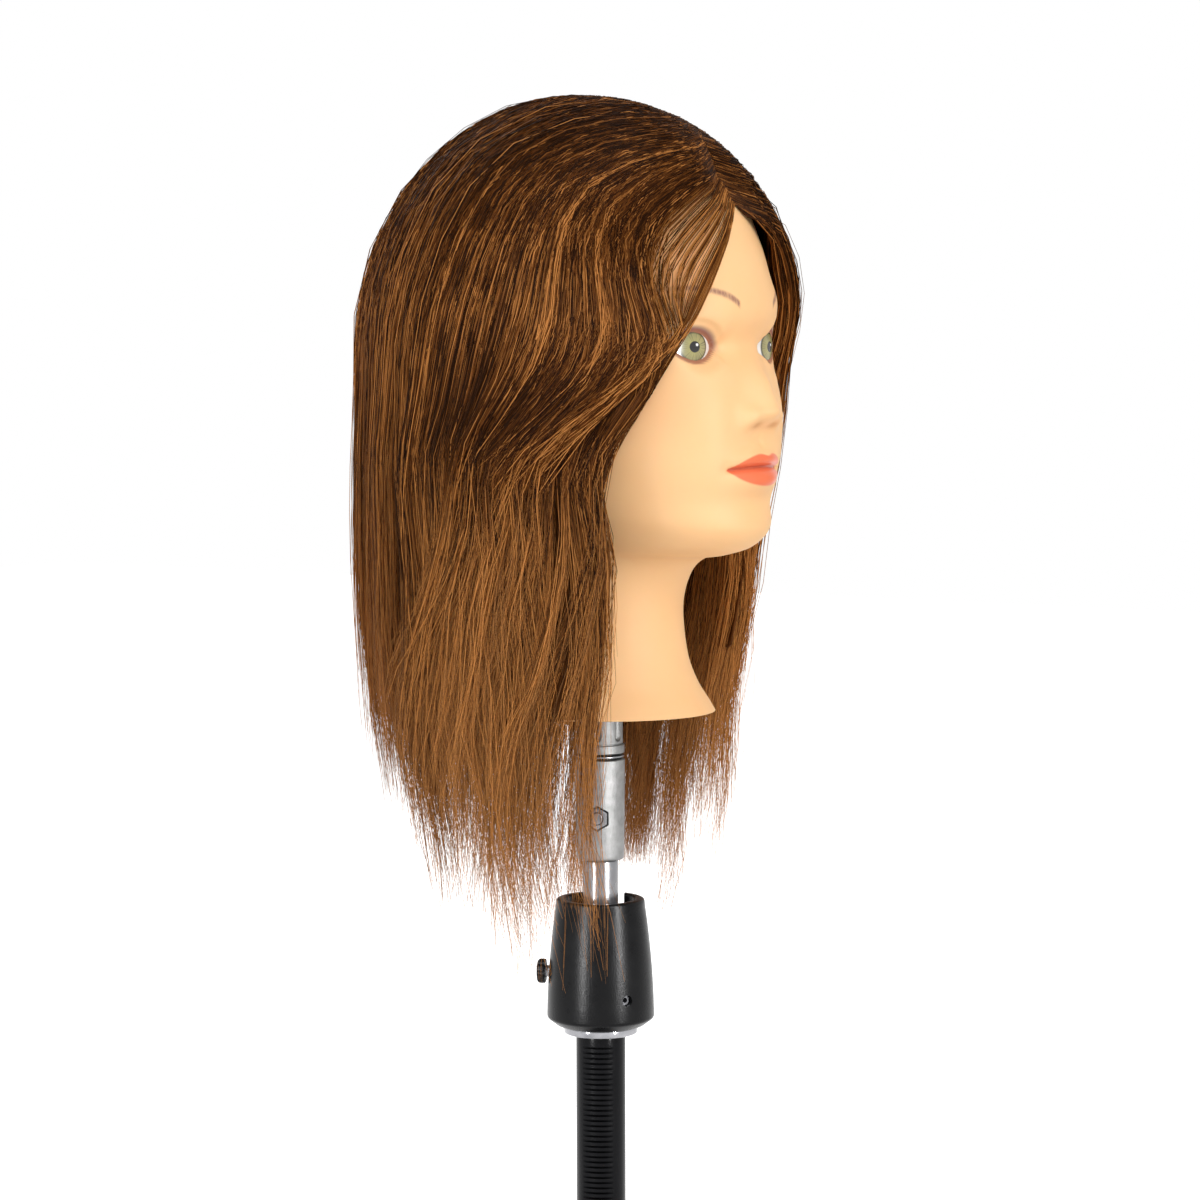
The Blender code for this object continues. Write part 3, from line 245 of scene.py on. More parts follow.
mouthForm = dict(height=0.1235, half=0.0230, upper=0.0072, lower=0.0092, dip=0.0016)
browForm = dict(inner=0.0160, outer=0.054, height=0.2015, arch=0.0078, thick=0.0016)


def smooth(low, high, value):
    t = np.clip((value - low) / (high - low), 0, 1)
    return t * t * (3 - 2 * t)


def bump(across, height, centre, spreadAcross, spreadHeight):
    return np.exp(-((across / spreadAcross) ** 2) - ((height - centre) / spreadHeight) ** 2)


def plainHead(station, turn):
    rows = headForm["sections"]
    last = len(rows) - 1
    where = np.clip(station, 0, last)
    row = np.minimum(where.astype(int), last - 1)
    t = (where - row)[:, None]
    a, b, c, d = (rows[np.clip(row + k, 0, last)] for k in (-1, 0, 1, 2))
    mixed = b + t * (c - a) / 2 + t * t * (a - 2.5 * b + 2 * c - d / 2) + t**3 * (1.5 * (b - c) + (d - a) / 2)
    front, frontZ, back, backZ, half = mixed.T
    middle = front + (back - front) * headForm["widestAt"]
    middleZ = frontZ + (backZ - frontZ) * headForm["widestAt"]
    ahead = np.cos(turn) > 0
    reach = np.abs(np.cos(turn))
    forward = middle + (np.where(ahead, front, back) - middle) * reach
    height = middleZ + (np.where(ahead, frontZ, backZ) - middleZ) * reach
    return half * np.sin(turn), forward, height


def eyeEdge(x, h):  # below 0 inside the lids, metres outside them
    across = np.abs(x) - eyeForm["apart"]
    level = h - eyeForm["height"] - eyeForm["slant"] * across
    half = eyeForm["width"] / 2
    open_ = np.clip(1 - (across / half) ** 2, 0, 1)
    edge = np.maximum(level - eyeForm["upper"] * open_**0.72, -eyeForm["lower"] * open_**0.85 - level)
    beyond = np.abs(across) - half
    return np.where(beyond > 0, np.hypot(np.maximum(beyond, 0), level), edge)


def lipEdge(x, h):
    side = np.abs(x) / mouthForm["half"]
    room = np.clip(1 - side**2, 0, 1)
    line = mouthForm["height"] - 0.0012 * side**2
    top = line + mouthForm["upper"] * room**0.9 - mouthForm["dip"] * np.exp(-((x / 0.0042) ** 2))
    low = line - mouthForm["lower"] * room**0.75
    return np.maximum(np.maximum(h - top, low - h), (side - 1) * mouthForm["half"])


def browEdge(x, h):
    t = (np.abs(x) - browForm["inner"]) / (browForm["outer"] - browForm["inner"])
    tc = np.clip(t, 0, 1)
    mid = browForm["height"] + browForm["arch"] * np.sin(np.pi * tc**0.75 * 0.70)
    thick = browForm["thick"] * (1 - 0.95 * tc**1.5)
    outside = np.maximum(np.maximum(-t, t - 1), 0) * (browForm["outer"] - browForm["inner"])
    return np.hypot(np.maximum(np.abs(h - mid) - thick, 0), outside) + np.minimum(np.abs(h - mid) - thick, 0) * (outside <= 0)


def faceRelief(x, h):
    side = np.abs(x)
    tip = noseForm["tip"]
    eye = eyeForm["height"]
    bridge = np.clip((eye - h) / (eye - tip), 0, 1)
    under = np.clip((tip - h) / noseForm["under"], 0, 1)
    nose = noseForm["out"] * bridge**1.25 * (1 - under * under * (3 - 2 * under))
    relief = nose * np.exp(-((x / (0.0072 + 0.0040 * bridge)) ** 2))
    mouth = mouthForm["height"]
    for out, across, centre, spreadAcross, spreadHeight in (
        (0.0042, 0.0128, tip - 0.0035, 0.0056, 0.0060),  # nostril wings
        (-0.0026, 0.0330, eye, 0.0180, 0.0140),  # eye sockets
        (-0.0030, 0.0160, eye, 0.0060, 0.0090),  # inner corners
        (0.0054, 0.0465, eye, 0.0120, 0.0160),  # temples
        (-0.0078, 0.0, eye + 0.001, 0.0200, 0.0120),  # nose root
        (0.0014, eyeForm["apart"], eye + 0.024, 0.020, 0.008),
        (0.0058, 0.036, eye - 0.034, 0.018, 0.0205),  # cheeks
        (0.0028, 0.031, mouth + 0.003, 0.016, 0.020),
        (0.0044, 0.0, mouth + 0.0046, 0.0160, 0.0042),
        (0.0050, 0.0, mouth - 0.0062, 0.0145, 0.0052),
        (-0.0022, 0.0, mouth - 0.0160, 0.016, 0.0050),
        (-0.0006, 0.0, mouth + 0.0125, 0.0024, 0.0045),  # philtrum
        (-0.0012, 0.0247, mouth - 0.001, 0.0035, 0.0045),  # mouth corners
    ):
        relief += out * bump(side - across, h, centre, spreadAcross, spreadHeight)
    line = mouth - 0.0012 * (side / mouthForm["half"]) ** 2
    relief -= 0.0028 * np.exp(-(((h - line) / 0.0014) ** 2)) * smooth(0.0255, 0.0210, side)
    return relief


def fullHead(station, turn):
    x, forward, h = plainHead(station, turn)
    facing = np.clip((forward - 0.020) / 0.030, 0, 1)
    out = forward + faceRelief(x, h) * facing
    edge = eyeEdge(x, h)
    across = np.clip(np.abs(x) - eyeForm["globe"], -0.0105, 0.0185)
    rise = h - eyeForm["height"]
    globe = eyeForm["front"] - eyeForm["curve"] + np.sqrt(np.maximum(eyeForm["curve"] ** 2 - across**2 - rise**2, 1e-6))
    pull = np.exp(-((np.maximum(edge, 0) / 0.0040) ** 2)) * (facing > 0.5)
    out = out + (globe + eyeForm["lid"] - out) * pull
    ball = eyeForm["front"] - eyeForm["curve"] + np.sqrt(np.maximum(eyeForm["curve"] ** 2 - (np.abs(x) - eyeForm["globe"]) ** 2 - rise**2, 0))
    out = np.where((facing > 0.5) & (ball > 0.060), np.maximum(out, ball + eyeForm["lid"]), out)  # the skin stays over the globe
    out = out - 0.0042 * smooth(0.0004, -0.0010, edge) * (facing > 0.5)
    crease = np.exp(-(((edge - 0.0052) / 0.0012) ** 2)) * smooth(0.001, 0.004, rise) * smooth(0.018, 0.013, np.abs(np.abs(x) - eyeForm["apart"]))
    out = out - 0.0009 * crease * facing
    return x, out, h


def addPiece(name, mesh, paint, body, angle=None):
    piece = bpy.data.objects.new(name, mesh)
    scene.collection.objects.link(piece)
    mesh.materials.append(paint)
    mesh.shade_smooth()
    if angle:
        mesh.set_sharp_from_angle(angle=math.radians(angle))
    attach(piece, body)
    return piece


def readCoords(mesh):
    coords = np.empty(len(mesh.vertices) * 3)
    mesh.vertices.foreach_get("co", coords)
    return coords.reshape(-1, 3)


def writeCoords(mesh, coords):
    mesh.vertices.foreach_set("co", np.ascontiguousarray(coords).ravel())
    mesh.update()


def writeMask(mesh, name, values):
    layer = mesh.attributes.new(name, "FLOAT", "POINT")
    layer.data.foreach_set("value", np.ascontiguousarray(values, dtype=np.float32))


def stationsOf(unit, stations):
    last = len(headForm["sections"]) - 1
    share = np.arccos(np.clip(unit[:, 2], -1, 1)) / np.pi
    station = np.interp(share, (0.0, 0.20, 0.76, 1 - 1.0 / stations), (0.0, 5.2, 14.5, last))
    azimuth = np.arctan2(unit[:, 0], -unit[:, 1])
    return share, station, azimuth - 0.5 * np.sin(azimuth)


eyeLook = dict(sclera=(0.88, 0.86, 0.82), corner=(0.75, 0.45, 0.38), turn=12.5, irisRim=(0.06, 0.055, 0.035), iris=(0.33, 0.30, 0.12), irisInner=(0.40, 0.36, 0.13), pupil=(0.006, 0.005, 0.005), irisRadius=0.0073, pupilRadius=0.0027, irisWide=1.30, glint=(0.0011, 0.0010, 0.0007))
skinLook = dict(
    base=(0.945, 0.572, 0.282), shade=(0.92, 0.54, 0.255), blush=(0.96, 0.50, 0.24), lips=(0.87, 0.195, 0.085),
    # the fringe colour is painted shade on the forehead skin under the hair fringe
    # the nostril colour is painted shade under the nose wings
    lipLine=(0.40, 0.070, 0.040), brow=(0.36, 0.175, 0.115), liner=(0.30, 0.10, 0.06), shadow=(0.17, 0.105, 0.135), nostril=(0.62, 0.27, 0.10), fringeShade=(0.92, 0.44, 0.17), scalp=(0.36, 0.19, 0.085), roughness=0.55, shine=0.10,
)


def attributeNode(tree, name):
    return addNode(tree, "ShaderNodeAttribute", attribute_name=name).outputs["Fac"]


def ranged(tree, source, low, high, toLow=0.0, toHigh=1.0):
    node = addNode(tree, "ShaderNodeMapRange", interpolation_type="SMOOTHSTEP")
    node.inputs["From Min"].default_value = low
    node.inputs["From Max"].default_value = high
    node.inputs["To Min"].default_value = toLow
    node.inputs["To Max"].default_value = toHigh
    tree.links.new(source, node.inputs["Value"])
    return node.outputs["Result"]


def painted(tree, under, colour, mask):
    node = addNode(tree, "ShaderNodeMix", data_type="RGBA")
    node.inputs[7].default_value = (*colour, 1)
    tree.links.new(mask, node.inputs[0])
    tree.links.new(under, node.inputs[6])
    return node.outputs[2]


def times(tree, first, second):
    node = addNode(tree, "ShaderNodeMath", operation="MULTIPLY")
    tree.links.new(first, node.inputs[0])
    if isinstance(second, float):
        node.inputs[1].default_value = second
    else:
        tree.links.new(second, node.inputs[1])
    return node.outputs[0]


def makeSkinPaint():
    look = skinLook
    paint, tree, shader = newFinish("skinVinyl", look["base"], look["roughness"])
    shader.inputs["Specular IOR Level"].default_value = look["shine"]
    place = tree.nodes.new("ShaderNodeTexCoord")
    grain = addNode(tree, "ShaderNodeGroup", node_tree=grainGroup)
    grain.inputs["Scale"].default_value = 22.0
    tree.links.new(place.outputs["Object"], grain.inputs["Vector"])
    tone = addNode(tree, "ShaderNodeMix", data_type="RGBA")
    tone.inputs[6].default_value = (*look["shade"], 1)
    tone.inputs[7].default_value = (*look["base"], 1)
    tree.links.new(ranged(tree, grain.outputs["Cloud"], 0.15, 0.60), tone.inputs[0])
    colour = tone.outputs[2]
    colour = painted(tree, colour, look["blush"], attributeNode(tree, "blush"))
    # painted shade on the forehead skin under the hair fringe
    colour = painted(tree, colour, look["fringeShade"], attributeNode(tree, "fringeShade"))
    colour = painted(tree, colour, look["shadow"], attributeNode(tree, "eyeShadow"))
    # painted shade under the nose wings
    colour = painted(tree, colour, look["nostril"], attributeNode(tree, "nostril"))
    streak = addNode(tree, "ShaderNodeTexNoise", Scale=900.0, Detail=1.0)
    tilt = addNode(tree, "ShaderNodeMapping")
    tilt.inputs["Scale"].default_value = (1.0, 1.0, 0.35)
    tree.links.new(place.outputs["Object"], tilt.inputs["Vector"])
    tree.links.new(tilt.outputs["Vector"], streak.inputs["Vector"])
    browMask = times(tree, ranged(tree, attributeNode(tree, "browEdge"), 0.0012, -0.0012), ranged(tree, streak.outputs["Fac"], 0.30, 0.62, 0.65, 1.0))
    colour = painted(tree, colour, look["brow"], browMask)
    lipMask = ranged(tree, attributeNode(tree, "lipEdge"), 0.0005, -0.0006)
    colour = painted(tree, colour, look["lips"], lipMask)
    colour = painted(tree, colour, look["lipLine"], attributeNode(tree, "mouthLine"))
    colour = painted(tree, colour, look["liner"], attributeNode(tree, "eyeLiner"))
    colour = painted(tree, colour, eyeLook["sclera"], attributeNode(tree, "eyeWhite"))
    colour = painted(tree, colour, look["scalp"], times(tree, attributeNode(tree, "scalp"), ranged(tree, streak.outputs["Fac"], 0.25, 0.65, 0.6, 1.0)))
    tree.links.new(colour, shader.inputs["Base Color"])
    gloss = addNode(tree, "ShaderNodeMapRange")
    gloss.inputs["To Min"].default_value = look["roughness"] - 0.05
    gloss.inputs["To Max"].default_value = look["roughness"] + 0.08
    tree.links.new(grain.outputs["Cloud"], gloss.inputs["Value"])
    shine = addNode(tree, "ShaderNodeMix", data_type="FLOAT")
    shine.inputs[3].default_value = 0.28
    tree.links.new(lipMask, shine.inputs[0])
    tree.links.new(gloss.outputs["Result"], shine.inputs[2])
    tree.links.new(shine.outputs[0], shader.inputs["Roughness"])
    relief = addNode(tree, "ShaderNodeBump", Strength=0.05, Distance=0.0003)
    tree.links.new(grain.outputs["Fine"], relief.inputs["Height"])
    tree.links.new(relief.outputs["Normal"], shader.inputs["Normal"])
    shader.inputs["Subsurface Weight"].default_value = 0.12
    shader.inputs["Subsurface Radius"].default_value = (0.006, 0.003, 0.0015)
    return paint


def makeSkin():
    shape = bmesh.new()
    bmesh.ops.create_uvsphere(shape, u_segments=headForm["around"], v_segments=headForm["stations"], radius=1)
    lowest = min(shape.verts, key=lambda v: v.co.z)
    bmesh.ops.delete(shape, geom=[lowest], context="VERTS")  # the neck is open
    mesh = bpy.data.meshes.new("headSkin")
    shape.to_mesh(mesh)
    shape.free()
    share, station, turn = stationsOf(readCoords(mesh), headForm["stations"])
    x, forward, h = fullHead(station, turn)
    top = share < 0.5 / headForm["stations"]
    x = np.where(top, 0, x)
    forward = np.where(top, -0.010, forward)
    writeCoords(mesh, np.stack((x, -forward, h + neckBase), axis=1))
    front = np.clip((forward - 0.030) / 0.020, 0, 1)
    writeMask(mesh, "lipEdge", np.where(forward > 0.06, lipEdge(x, h), 0.02))
    writeMask(mesh, "browEdge", np.where(forward > 0.04, browEdge(x, h), 0.02))
    side = np.abs(x)
    edge = eyeEdge(x, h)
    rise = h - eyeForm["height"]
    liner = smooth(0.0018, 0.0008, np.abs(edge - 0.0008))
    writeMask(mesh, "eyeLiner", liner * front * 0.85)
    writeMask(mesh, "eyeWhite", smooth(-0.0004, -0.0012, edge) * front)
    band = smooth(0.0004, 0.0012, edge) * smooth(0.0044, 0.0020, edge) * smooth(-0.005, 0.003, rise)
    writeMask(mesh, "eyeShadow", band * front * 0.80)
    # painted shade under the nose wings
    writeMask(mesh, "nostril", 0.75 * bump(side - 0.0078, h, noseForm["tip"] - 0.0068, 0.0040, 0.0016) * front)
    # painted shade: the forehead skin under the hair fringe is darker and warmer
    fringeShade = smooth(0.0, -0.010, x + 0.008 + 0.45 * (0.2535 - h)) * smooth(0.186, 0.204, h) * 0.75
    writeMask(mesh, "fringeShade", fringeShade * front)
    hairline = 0.2535 - 2.2 * np.maximum(0, side - 0.045)
    writeMask(mesh, "scalp", smooth(-0.0008, 0.0008, h - np.where(forward > 0.03, hairline, 0.13)))
    blush = 0.30 * bump(side - 0.047, h, 0.150, 0.018, 0.016)
    writeMask(mesh, "blush", np.clip(blush, 0, 1) * front)
    line = mouthForm["height"] - 0.0012 * (side / mouthForm["half"]) ** 2
    mouthLine = np.exp(-(((h - line) / 0.0008) ** 2)) * smooth(mouthForm["half"] + 0.001, mouthForm["half"] - 0.002, side) * 0.75
    writeMask(mesh, "mouthLine", mouthLine * front)
    shape = bmesh.new()
    shape.from_mesh(mesh)
    for inward, lift in ((headForm["rim"], 0.0), (0.0035, 0.005)):  # the neck's rim and a turned-in edge
        loop = [e for e in shape.edges if e.is_boundary]
        grown = bmesh.ops.extrude_edge_only(shape, edges=loop)["geom"]
        for vert in (g for g in grown if isinstance(g, bmesh.types.BMVert)):
            flat = Vector((vert.co.x, vert.co.y, 0))
            vert.co -= flat.normalized() * inward
            vert.co.z += lift
    bmesh.ops.recalc_face_normals(shape, faces=shape.faces)
    shape.to_mesh(mesh)
    shape.free()
    piece = addPiece("headSkin", mesh, makeSkinPaint(), "head")
    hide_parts("head_skin")
    print("skin", len(mesh.polygons), "faces")
    return BVHTree.FromPolygons([v.co for v in mesh.vertices], [f.vertices for f in mesh.polygons])


def makeEyePaint(name, centre, side):
    look = eyeLook
    paint, tree, shader = newFinish(name, look["sclera"], 0.24)
    place = tree.nodes.new("ShaderNodeTexCoord")
    shift = addNode(tree, "ShaderNodeMapping")
    shift.inputs["Location"].default_value = (-centre.x, -centre.y, -centre.z)
    tree.links.new(place.outputs["Object"], shift.inputs["Vector"])
    swing = addNode(tree, "ShaderNodeMapping")
    swing.inputs["Rotation"].default_value = (0, 0, -side * math.radians(look["turn"]))
    tree.links.new(shift.outputs["Vector"], swing.inputs["Vector"])
    split = tree.nodes.new("ShaderNodeSeparateXYZ")
    tree.links.new(swing.outputs["Vector"], split.inputs[0])
    flat = tree.nodes.new("ShaderNodeCombineXYZ")
    tree.links.new(times(tree, split.outputs["X"], 1 / look["irisWide"]), flat.inputs["X"])
    tree.links.new(split.outputs["Z"], flat.inputs["Y"])
    reach = addNode(tree, "ShaderNodeVectorMath", operation="LENGTH")
    tree.links.new(flat.outputs[0], reach.inputs[0])
    radius = reach.outputs["Value"]
    aim = addNode(tree, "ShaderNodeVectorMath", operation="NORMALIZE")
    tree.links.new(flat.outputs[0], aim.inputs[0])
    fibre = addNode(tree, "ShaderNodeTexNoise", Scale=9.0, Detail=3.0)
    tree.links.new(aim.outputs[0], fibre.inputs["Vector"])
    iris = addNode(tree, "ShaderNodeMix", data_type="RGBA")
    iris.inputs[6].default_value = (*look["irisInner"], 1)
    iris.inputs[7].default_value = (*look["iris"], 1)
    tree.links.new(ranged(tree, radius, look["pupilRadius"], look["irisRadius"] * 0.8), iris.inputs[0])
    colour = painted(tree, iris.outputs[2], look["irisRim"], times(tree, ranged(tree, fibre.outputs["Fac"], 0.45, 0.75), 0.7))
    colour = painted(tree, colour, look["irisRim"], ranged(tree, radius, look["irisRadius"] * 0.80, look["irisRadius"] * 0.97))
    white = addNode(tree, "ShaderNodeMix", data_type="RGBA")
    white.inputs[6].default_value = (*look["sclera"], 1)
    white.inputs[7].default_value = (*look["corner"], 1)
    tree.links.new(ranged(tree, radius, 0.0105, 0.0155), white.inputs[0])
    both = addNode(tree, "ShaderNodeMix", data_type="RGBA")
    tree.links.new(ranged(tree, radius, look["irisRadius"] * 0.96, look["irisRadius"] * 1.05), both.inputs[0])
    tree.links.new(colour, both.inputs[6])
    tree.links.new(white.outputs[2], both.inputs[7])
    colour = painted(tree, both.outputs[2], look["pupil"], ranged(tree, radius, look["pupilRadius"] * 1.06, look["pupilRadius"] * 0.94))
    spot = addNode(tree, "ShaderNodeVectorMath", operation="DISTANCE")
    spot.inputs[1].default_value = (look["glint"][0], look["glint"][1], 0)
    tree.links.new(flat.outputs[0], spot.inputs[0])
    colour = painted(tree, colour, (1, 1, 1), ranged(tree, spot.outputs["Value"], look["glint"][2] * 1.2, look["glint"][2] * 0.7))
    tree.links.new(colour, shader.inputs["Base Color"])
    return paint


def makeEyes():
    for name, node, side in (("eyeRight", "eye_right", -1), ("eyeLeft", "eye_left", 1)):
        centre = Vector((side * eyeForm["globe"], eyeForm["curve"] - eyeForm["front"], neckBase + eyeForm["height"]))
        shape = bmesh.new()
        turn = Matrix.Translation(centre) @ Matrix.Rotation(math.pi / 2, 4, "X")
        bmesh.ops.create_uvsphere(shape, u_segments=64, v_segments=40, radius=eyeForm["curve"], matrix=turn)
        keep = centre.y - eyeForm["curve"] * 0.66
        cut = bmesh.ops.bisect_plane(shape, geom=shape.verts[:] + shape.edges[:] + shape.faces[:], plane_co=(0, keep, 0), plane_no=(0, 1, 0), clear_outer=True)
        bmesh.ops.edgeloop_fill(shape, edges=[e for e in cut["geom_cut"] if isinstance(e, bmesh.types.BMEdge)])
        bmesh.ops.recalc_face_normals(shape, faces=shape.faces)
        mesh = bpy.data.meshes.new(name)
        shape.to_mesh(mesh)
        shape.free()
        piece = addPiece(name, mesh, makeEyePaint(name + "Gloss", centre, side), "head", 60)
        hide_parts(node)


skinTree = makeSkin()
makeEyes()
print("head made")

# hair: strands from the parting over a dome, then down in a curtain
hairForm = dict(
    forward=-0.010, height=0.177, halfWidth=0.100, halfLength=0.121, halfHeight=0.131,
    partFront=math.radians(38), partBack=math.radians(102), partHalf=0.0012, onDome=0.40,
    edge=((-0.120, 56, 67), (-0.050, 58, 66), (0.005, 59, 65), (0.030, 55, 63), (0.080, 53, 58), (0.127, 58, 47), (0.150, 46, 43), (0.177, 37, 40)),
    tips=((25, -0.072, -0.030), (50, -0.076, -0.045), (70, -0.083, -0.065), (90, -0.063, -0.100), (105, -0.042, -0.118), (120, -0.020, -0.108), (150, -0.010, -0.080), (180, -0.035, -0.035)),
)
strandForm = dict(points=15, perPiece=2340, start=0.40, radius=0.00021, locks=15, tufts=64, seed=7)


def readTable(table, where, column):
    rows = np.array(table)
    return np.interp(where, rows[:, 0], rows[:, column])


def hairPath(share, length, side):
    form = hairForm
    column = 1 if side < 0 else 2
    edgeTop = math.radians(form["edge"][-1][column])
    level = edgeTop + (math.pi - edgeTop) * share
    hug = 1 - 0.07 * np.maximum(0, 1 - share / 0.3) ** 2
    rise = form["partFront"] + (form["partBack"] - form["partFront"]) * np.minimum(1, share * 1.25)
    angle = np.arccos(np.clip(np.cos(rise) * np.cos(level), -1, 1))
    start = form["partHalf"] / form["halfWidth"] / angle
    sweep = np.clip(length / form["onDome"], -0.1, 1)
    sweep = start + (1 - start) * sweep
    first, second = np.sin((1 - sweep) * angle) / np.sin(angle), np.sin(sweep * angle) / np.sin(angle)
    scale = 1 + (hug - 1) * sweep * sweep
    domeX = second * side * np.sin(level) * scale
    domeF = (first * np.cos(rise) + second * np.cos(level)) * scale
    domeZ = first * np.sin(rise) * scale
    fall = np.clip((length - form["onDome"]) / (1 - form["onDome"]), 0, 1.2)
    tip = readTable(form["tips"], np.degrees(level), column)
    height = form["height"] + (tip - form["height"]) * fall
    shift = (np.radians(readTable(form["edge"], height, column)) - edgeTop) * np.maximum(0, 1 - share) ** 2
    turn = level + shift
    narrow = hug * (1 - 0.07 * fall**3)
    onDome = length <= form["onDome"]
    unitX = np.where(onDome, domeX, side * np.sin(turn) * narrow)
    unitF = np.where(onDome, domeF, np.cos(turn) * narrow)
    z = np.where(onDome, form["height"] + form["halfHeight"] * domeZ, height)
    return np.stack((form["halfWidth"] * unitX, -form["forward"] - form["halfLength"] * unitF, z + neckBase), axis=-1)


def inwardOf(points):
    centre = np.zeros_like(points)
    centre[..., 1] = -hairForm["forward"]
    centre[..., 2] = np.minimum(points[..., 2], hairForm["height"] + neckBase)
    way = centre - points
    return way / np.linalg.norm(way, axis=-1, keepdims=True)


hairLook = dict(dark=(0.020, 0.0062, 0.0014), mid=(0.152, 0.0485, 0.0088), light=(0.60, 0.240, 0.062), tip=(0.60, 0.29, 0.105), roughness=0.42, sheen=0.02)


def makeHairPaint(name, streaked):
    look = hairLook
    paint, tree, shader = newFinish(name, look["mid"], look["roughness"])
    shader.inputs["Specular IOR Level"].default_value = look["sheen"]
    chart = addNode(tree, "ShaderNodeUVMap", uv_map="OFBake")
    split = tree.nodes.new("ShaderNodeSeparateXYZ")
    tree.links.new(chart.outputs["UV"], split.inputs[0])
    ramp = tree.nodes.new("ShaderNodeValToRGB")
    stops = ramp.color_ramp.elements
    stops[0].position, stops[0].color = 0.0, (*look["dark"], 1)
    stops[1].position, stops[1].color = 1.0, (*look["light"], 1)
    middle = stops.new(0.5)
    middle.color = (*look["mid"], 1)
    if streaked:
        stretch = addNode(tree, "ShaderNodeMapping")
        stretch.inputs["Scale"].default_value = (420.0, 5.0, 1.0)
        noise = addNode(tree, "ShaderNodeTexNoise", Scale=1.0, Detail=3.0)
        tree.links.new(chart.outputs["UV"], stretch.inputs["Vector"])
        tree.links.new(stretch.outputs["Vector"], noise.inputs["Vector"])
        # painted shade: the under layer stays darker than the strands, as inside the hair mass
        tone = ranged(tree, noise.outputs["Fac"], 0.25, 0.85, 0.0, 0.62)
        relief = addNode(tree, "ShaderNodeBump", Strength=0.5, Distance=0.0008)
        tree.links.new(noise.outputs["Fac"], relief.inputs["Height"])
        tree.links.new(relief.outputs["Normal"], shader.inputs["Normal"])
    else:
        tone = split.outputs["X"]
    tree.links.new(tone, ramp.inputs["Fac"])
    colour = painted(tree, ramp.outputs["Color"], look["tip"], ranged(tree, split.outputs["Y"], 0.70, 1.05, 0.0, 0.40 if not streaked else 0.15))
    tree.links.new(colour, shader.inputs["Base Color"])
    return paint


def makeStrandMesh(name, count, points):
    shape = bmesh.new()
    ring = bmesh.ops.create_circle(shape, segments=3, radius=1)["verts"]
    edges = [e for e in shape.edges]
    for step in range(points - 1):
        grown = bmesh.ops.extrude_edge_only(shape, edges=edges)["geom"]
        edges = [g for g in grown if isinstance(g, bmesh.types.BMEdge) and all(v in grown for v in g.verts)]
        bmesh.ops.translate(shape, verts=[g for g in grown if isinstance(g, bmesh.types.BMVert)], vec=(0, 0, 1))
    shape.verts.ensure_lookup_table()
    mesh = bpy.data.meshes.new(name)
    shape.to_mesh(mesh)
    shape.free()
    holder = bpy.data.objects.new(name + "One", mesh)
    scene.collection.objects.link(holder)
    array = holder.modifiers.new("many", "ARRAY")
    array.count = count
    array.use_relative_offset = False
    array.use_constant_offset = True
    array.constant_offset_displace = (10, 0, 0)
    many = bpy.data.meshes.new_from_object(holder.evaluated_get(bpy.context.evaluated_depsgraph_get()))
    bpy.data.objects.remove(holder, do_unlink=True)
    bpy.data.meshes.remove(mesh)
    many.name = name
    return many


def sheathe(mesh, centre, radius, tone):  # centre (count, points, 3), radius (count, points)
    count, points = centre.shape[:2]
    coords = readCoords(mesh)
    strand = np.rint((coords[:, 0]) / 10).astype(int)
    step = np.rint(coords[:, 2]).astype(int)
    across = coords[:, 0] - 10 * strand
    along = np.gradient(centre, axis=1)
    along /= np.linalg.norm(along, axis=-1, keepdims=True) + 1e-12
    inward = inwardOf(centre)
    sideways = np.cross(along, inward)
    sideways /= np.linalg.norm(sideways, axis=-1, keepdims=True) + 1e-12
    outward = np.cross(sideways, along)
    spot = centre[strand, step] + radius[strand, step][:, None] * (across[:, None] * sideways[strand, step] + coords[:, 1][:, None] * outward[strand, step])
    writeCoords(mesh, spot)
    chart = mesh.uv_layers.new(name="OFBake")
    corners = np.empty(len(mesh.loops), dtype=np.int32)
    mesh.loops.foreach_get("vertex_index", corners)
    uv = np.stack((tone[strand[corners], step[corners]], step[corners] / (points - 1)), axis=1).astype(np.float32)
    chart.data.foreach_set("uv", uv.ravel())


def skinDepth(points, inward):  # from the hair's outer surface in to the skin
    flatPoints, flatWays = points.reshape(-1, 3), inward.reshape(-1, 3)
    depth = np.full(len(flatPoints), 1.0)
    for i in range(len(flatPoints)):
        if flatPoints[i, 2] < neckBase:
            continue
        hit = skinTree.ray_cast(flatPoints[i] - 0.03 * flatWays[i], flatWays[i], 0.14)
        if hit[0] is not None:
            depth[i] = hit[3] - 0.03
    return depth.reshape(points.shape[:-1])


def sweepTemple(share, v, side):  # the right side's front lengths fall forward past the temple
    if side > 0:
        return share
    return share - 0.19 * smooth(0.22, 0.44, v) * np.exp(-(((share - 0.19) / 0.16) ** 2)) * smooth(0.0, 0.10, share)


def rootPull(share, v):  # the parting's front lies on the scalp, its back stands up
    return (1 - smooth(0.0, 0.10, v)) * (0.12 + 0.88 * smooth(0.36, 0.10, share))


tiltRoom = dict(way=(0.9063, 0.4226), half=0.0185, top=0.1905)  # where the column comes when the head lies right back


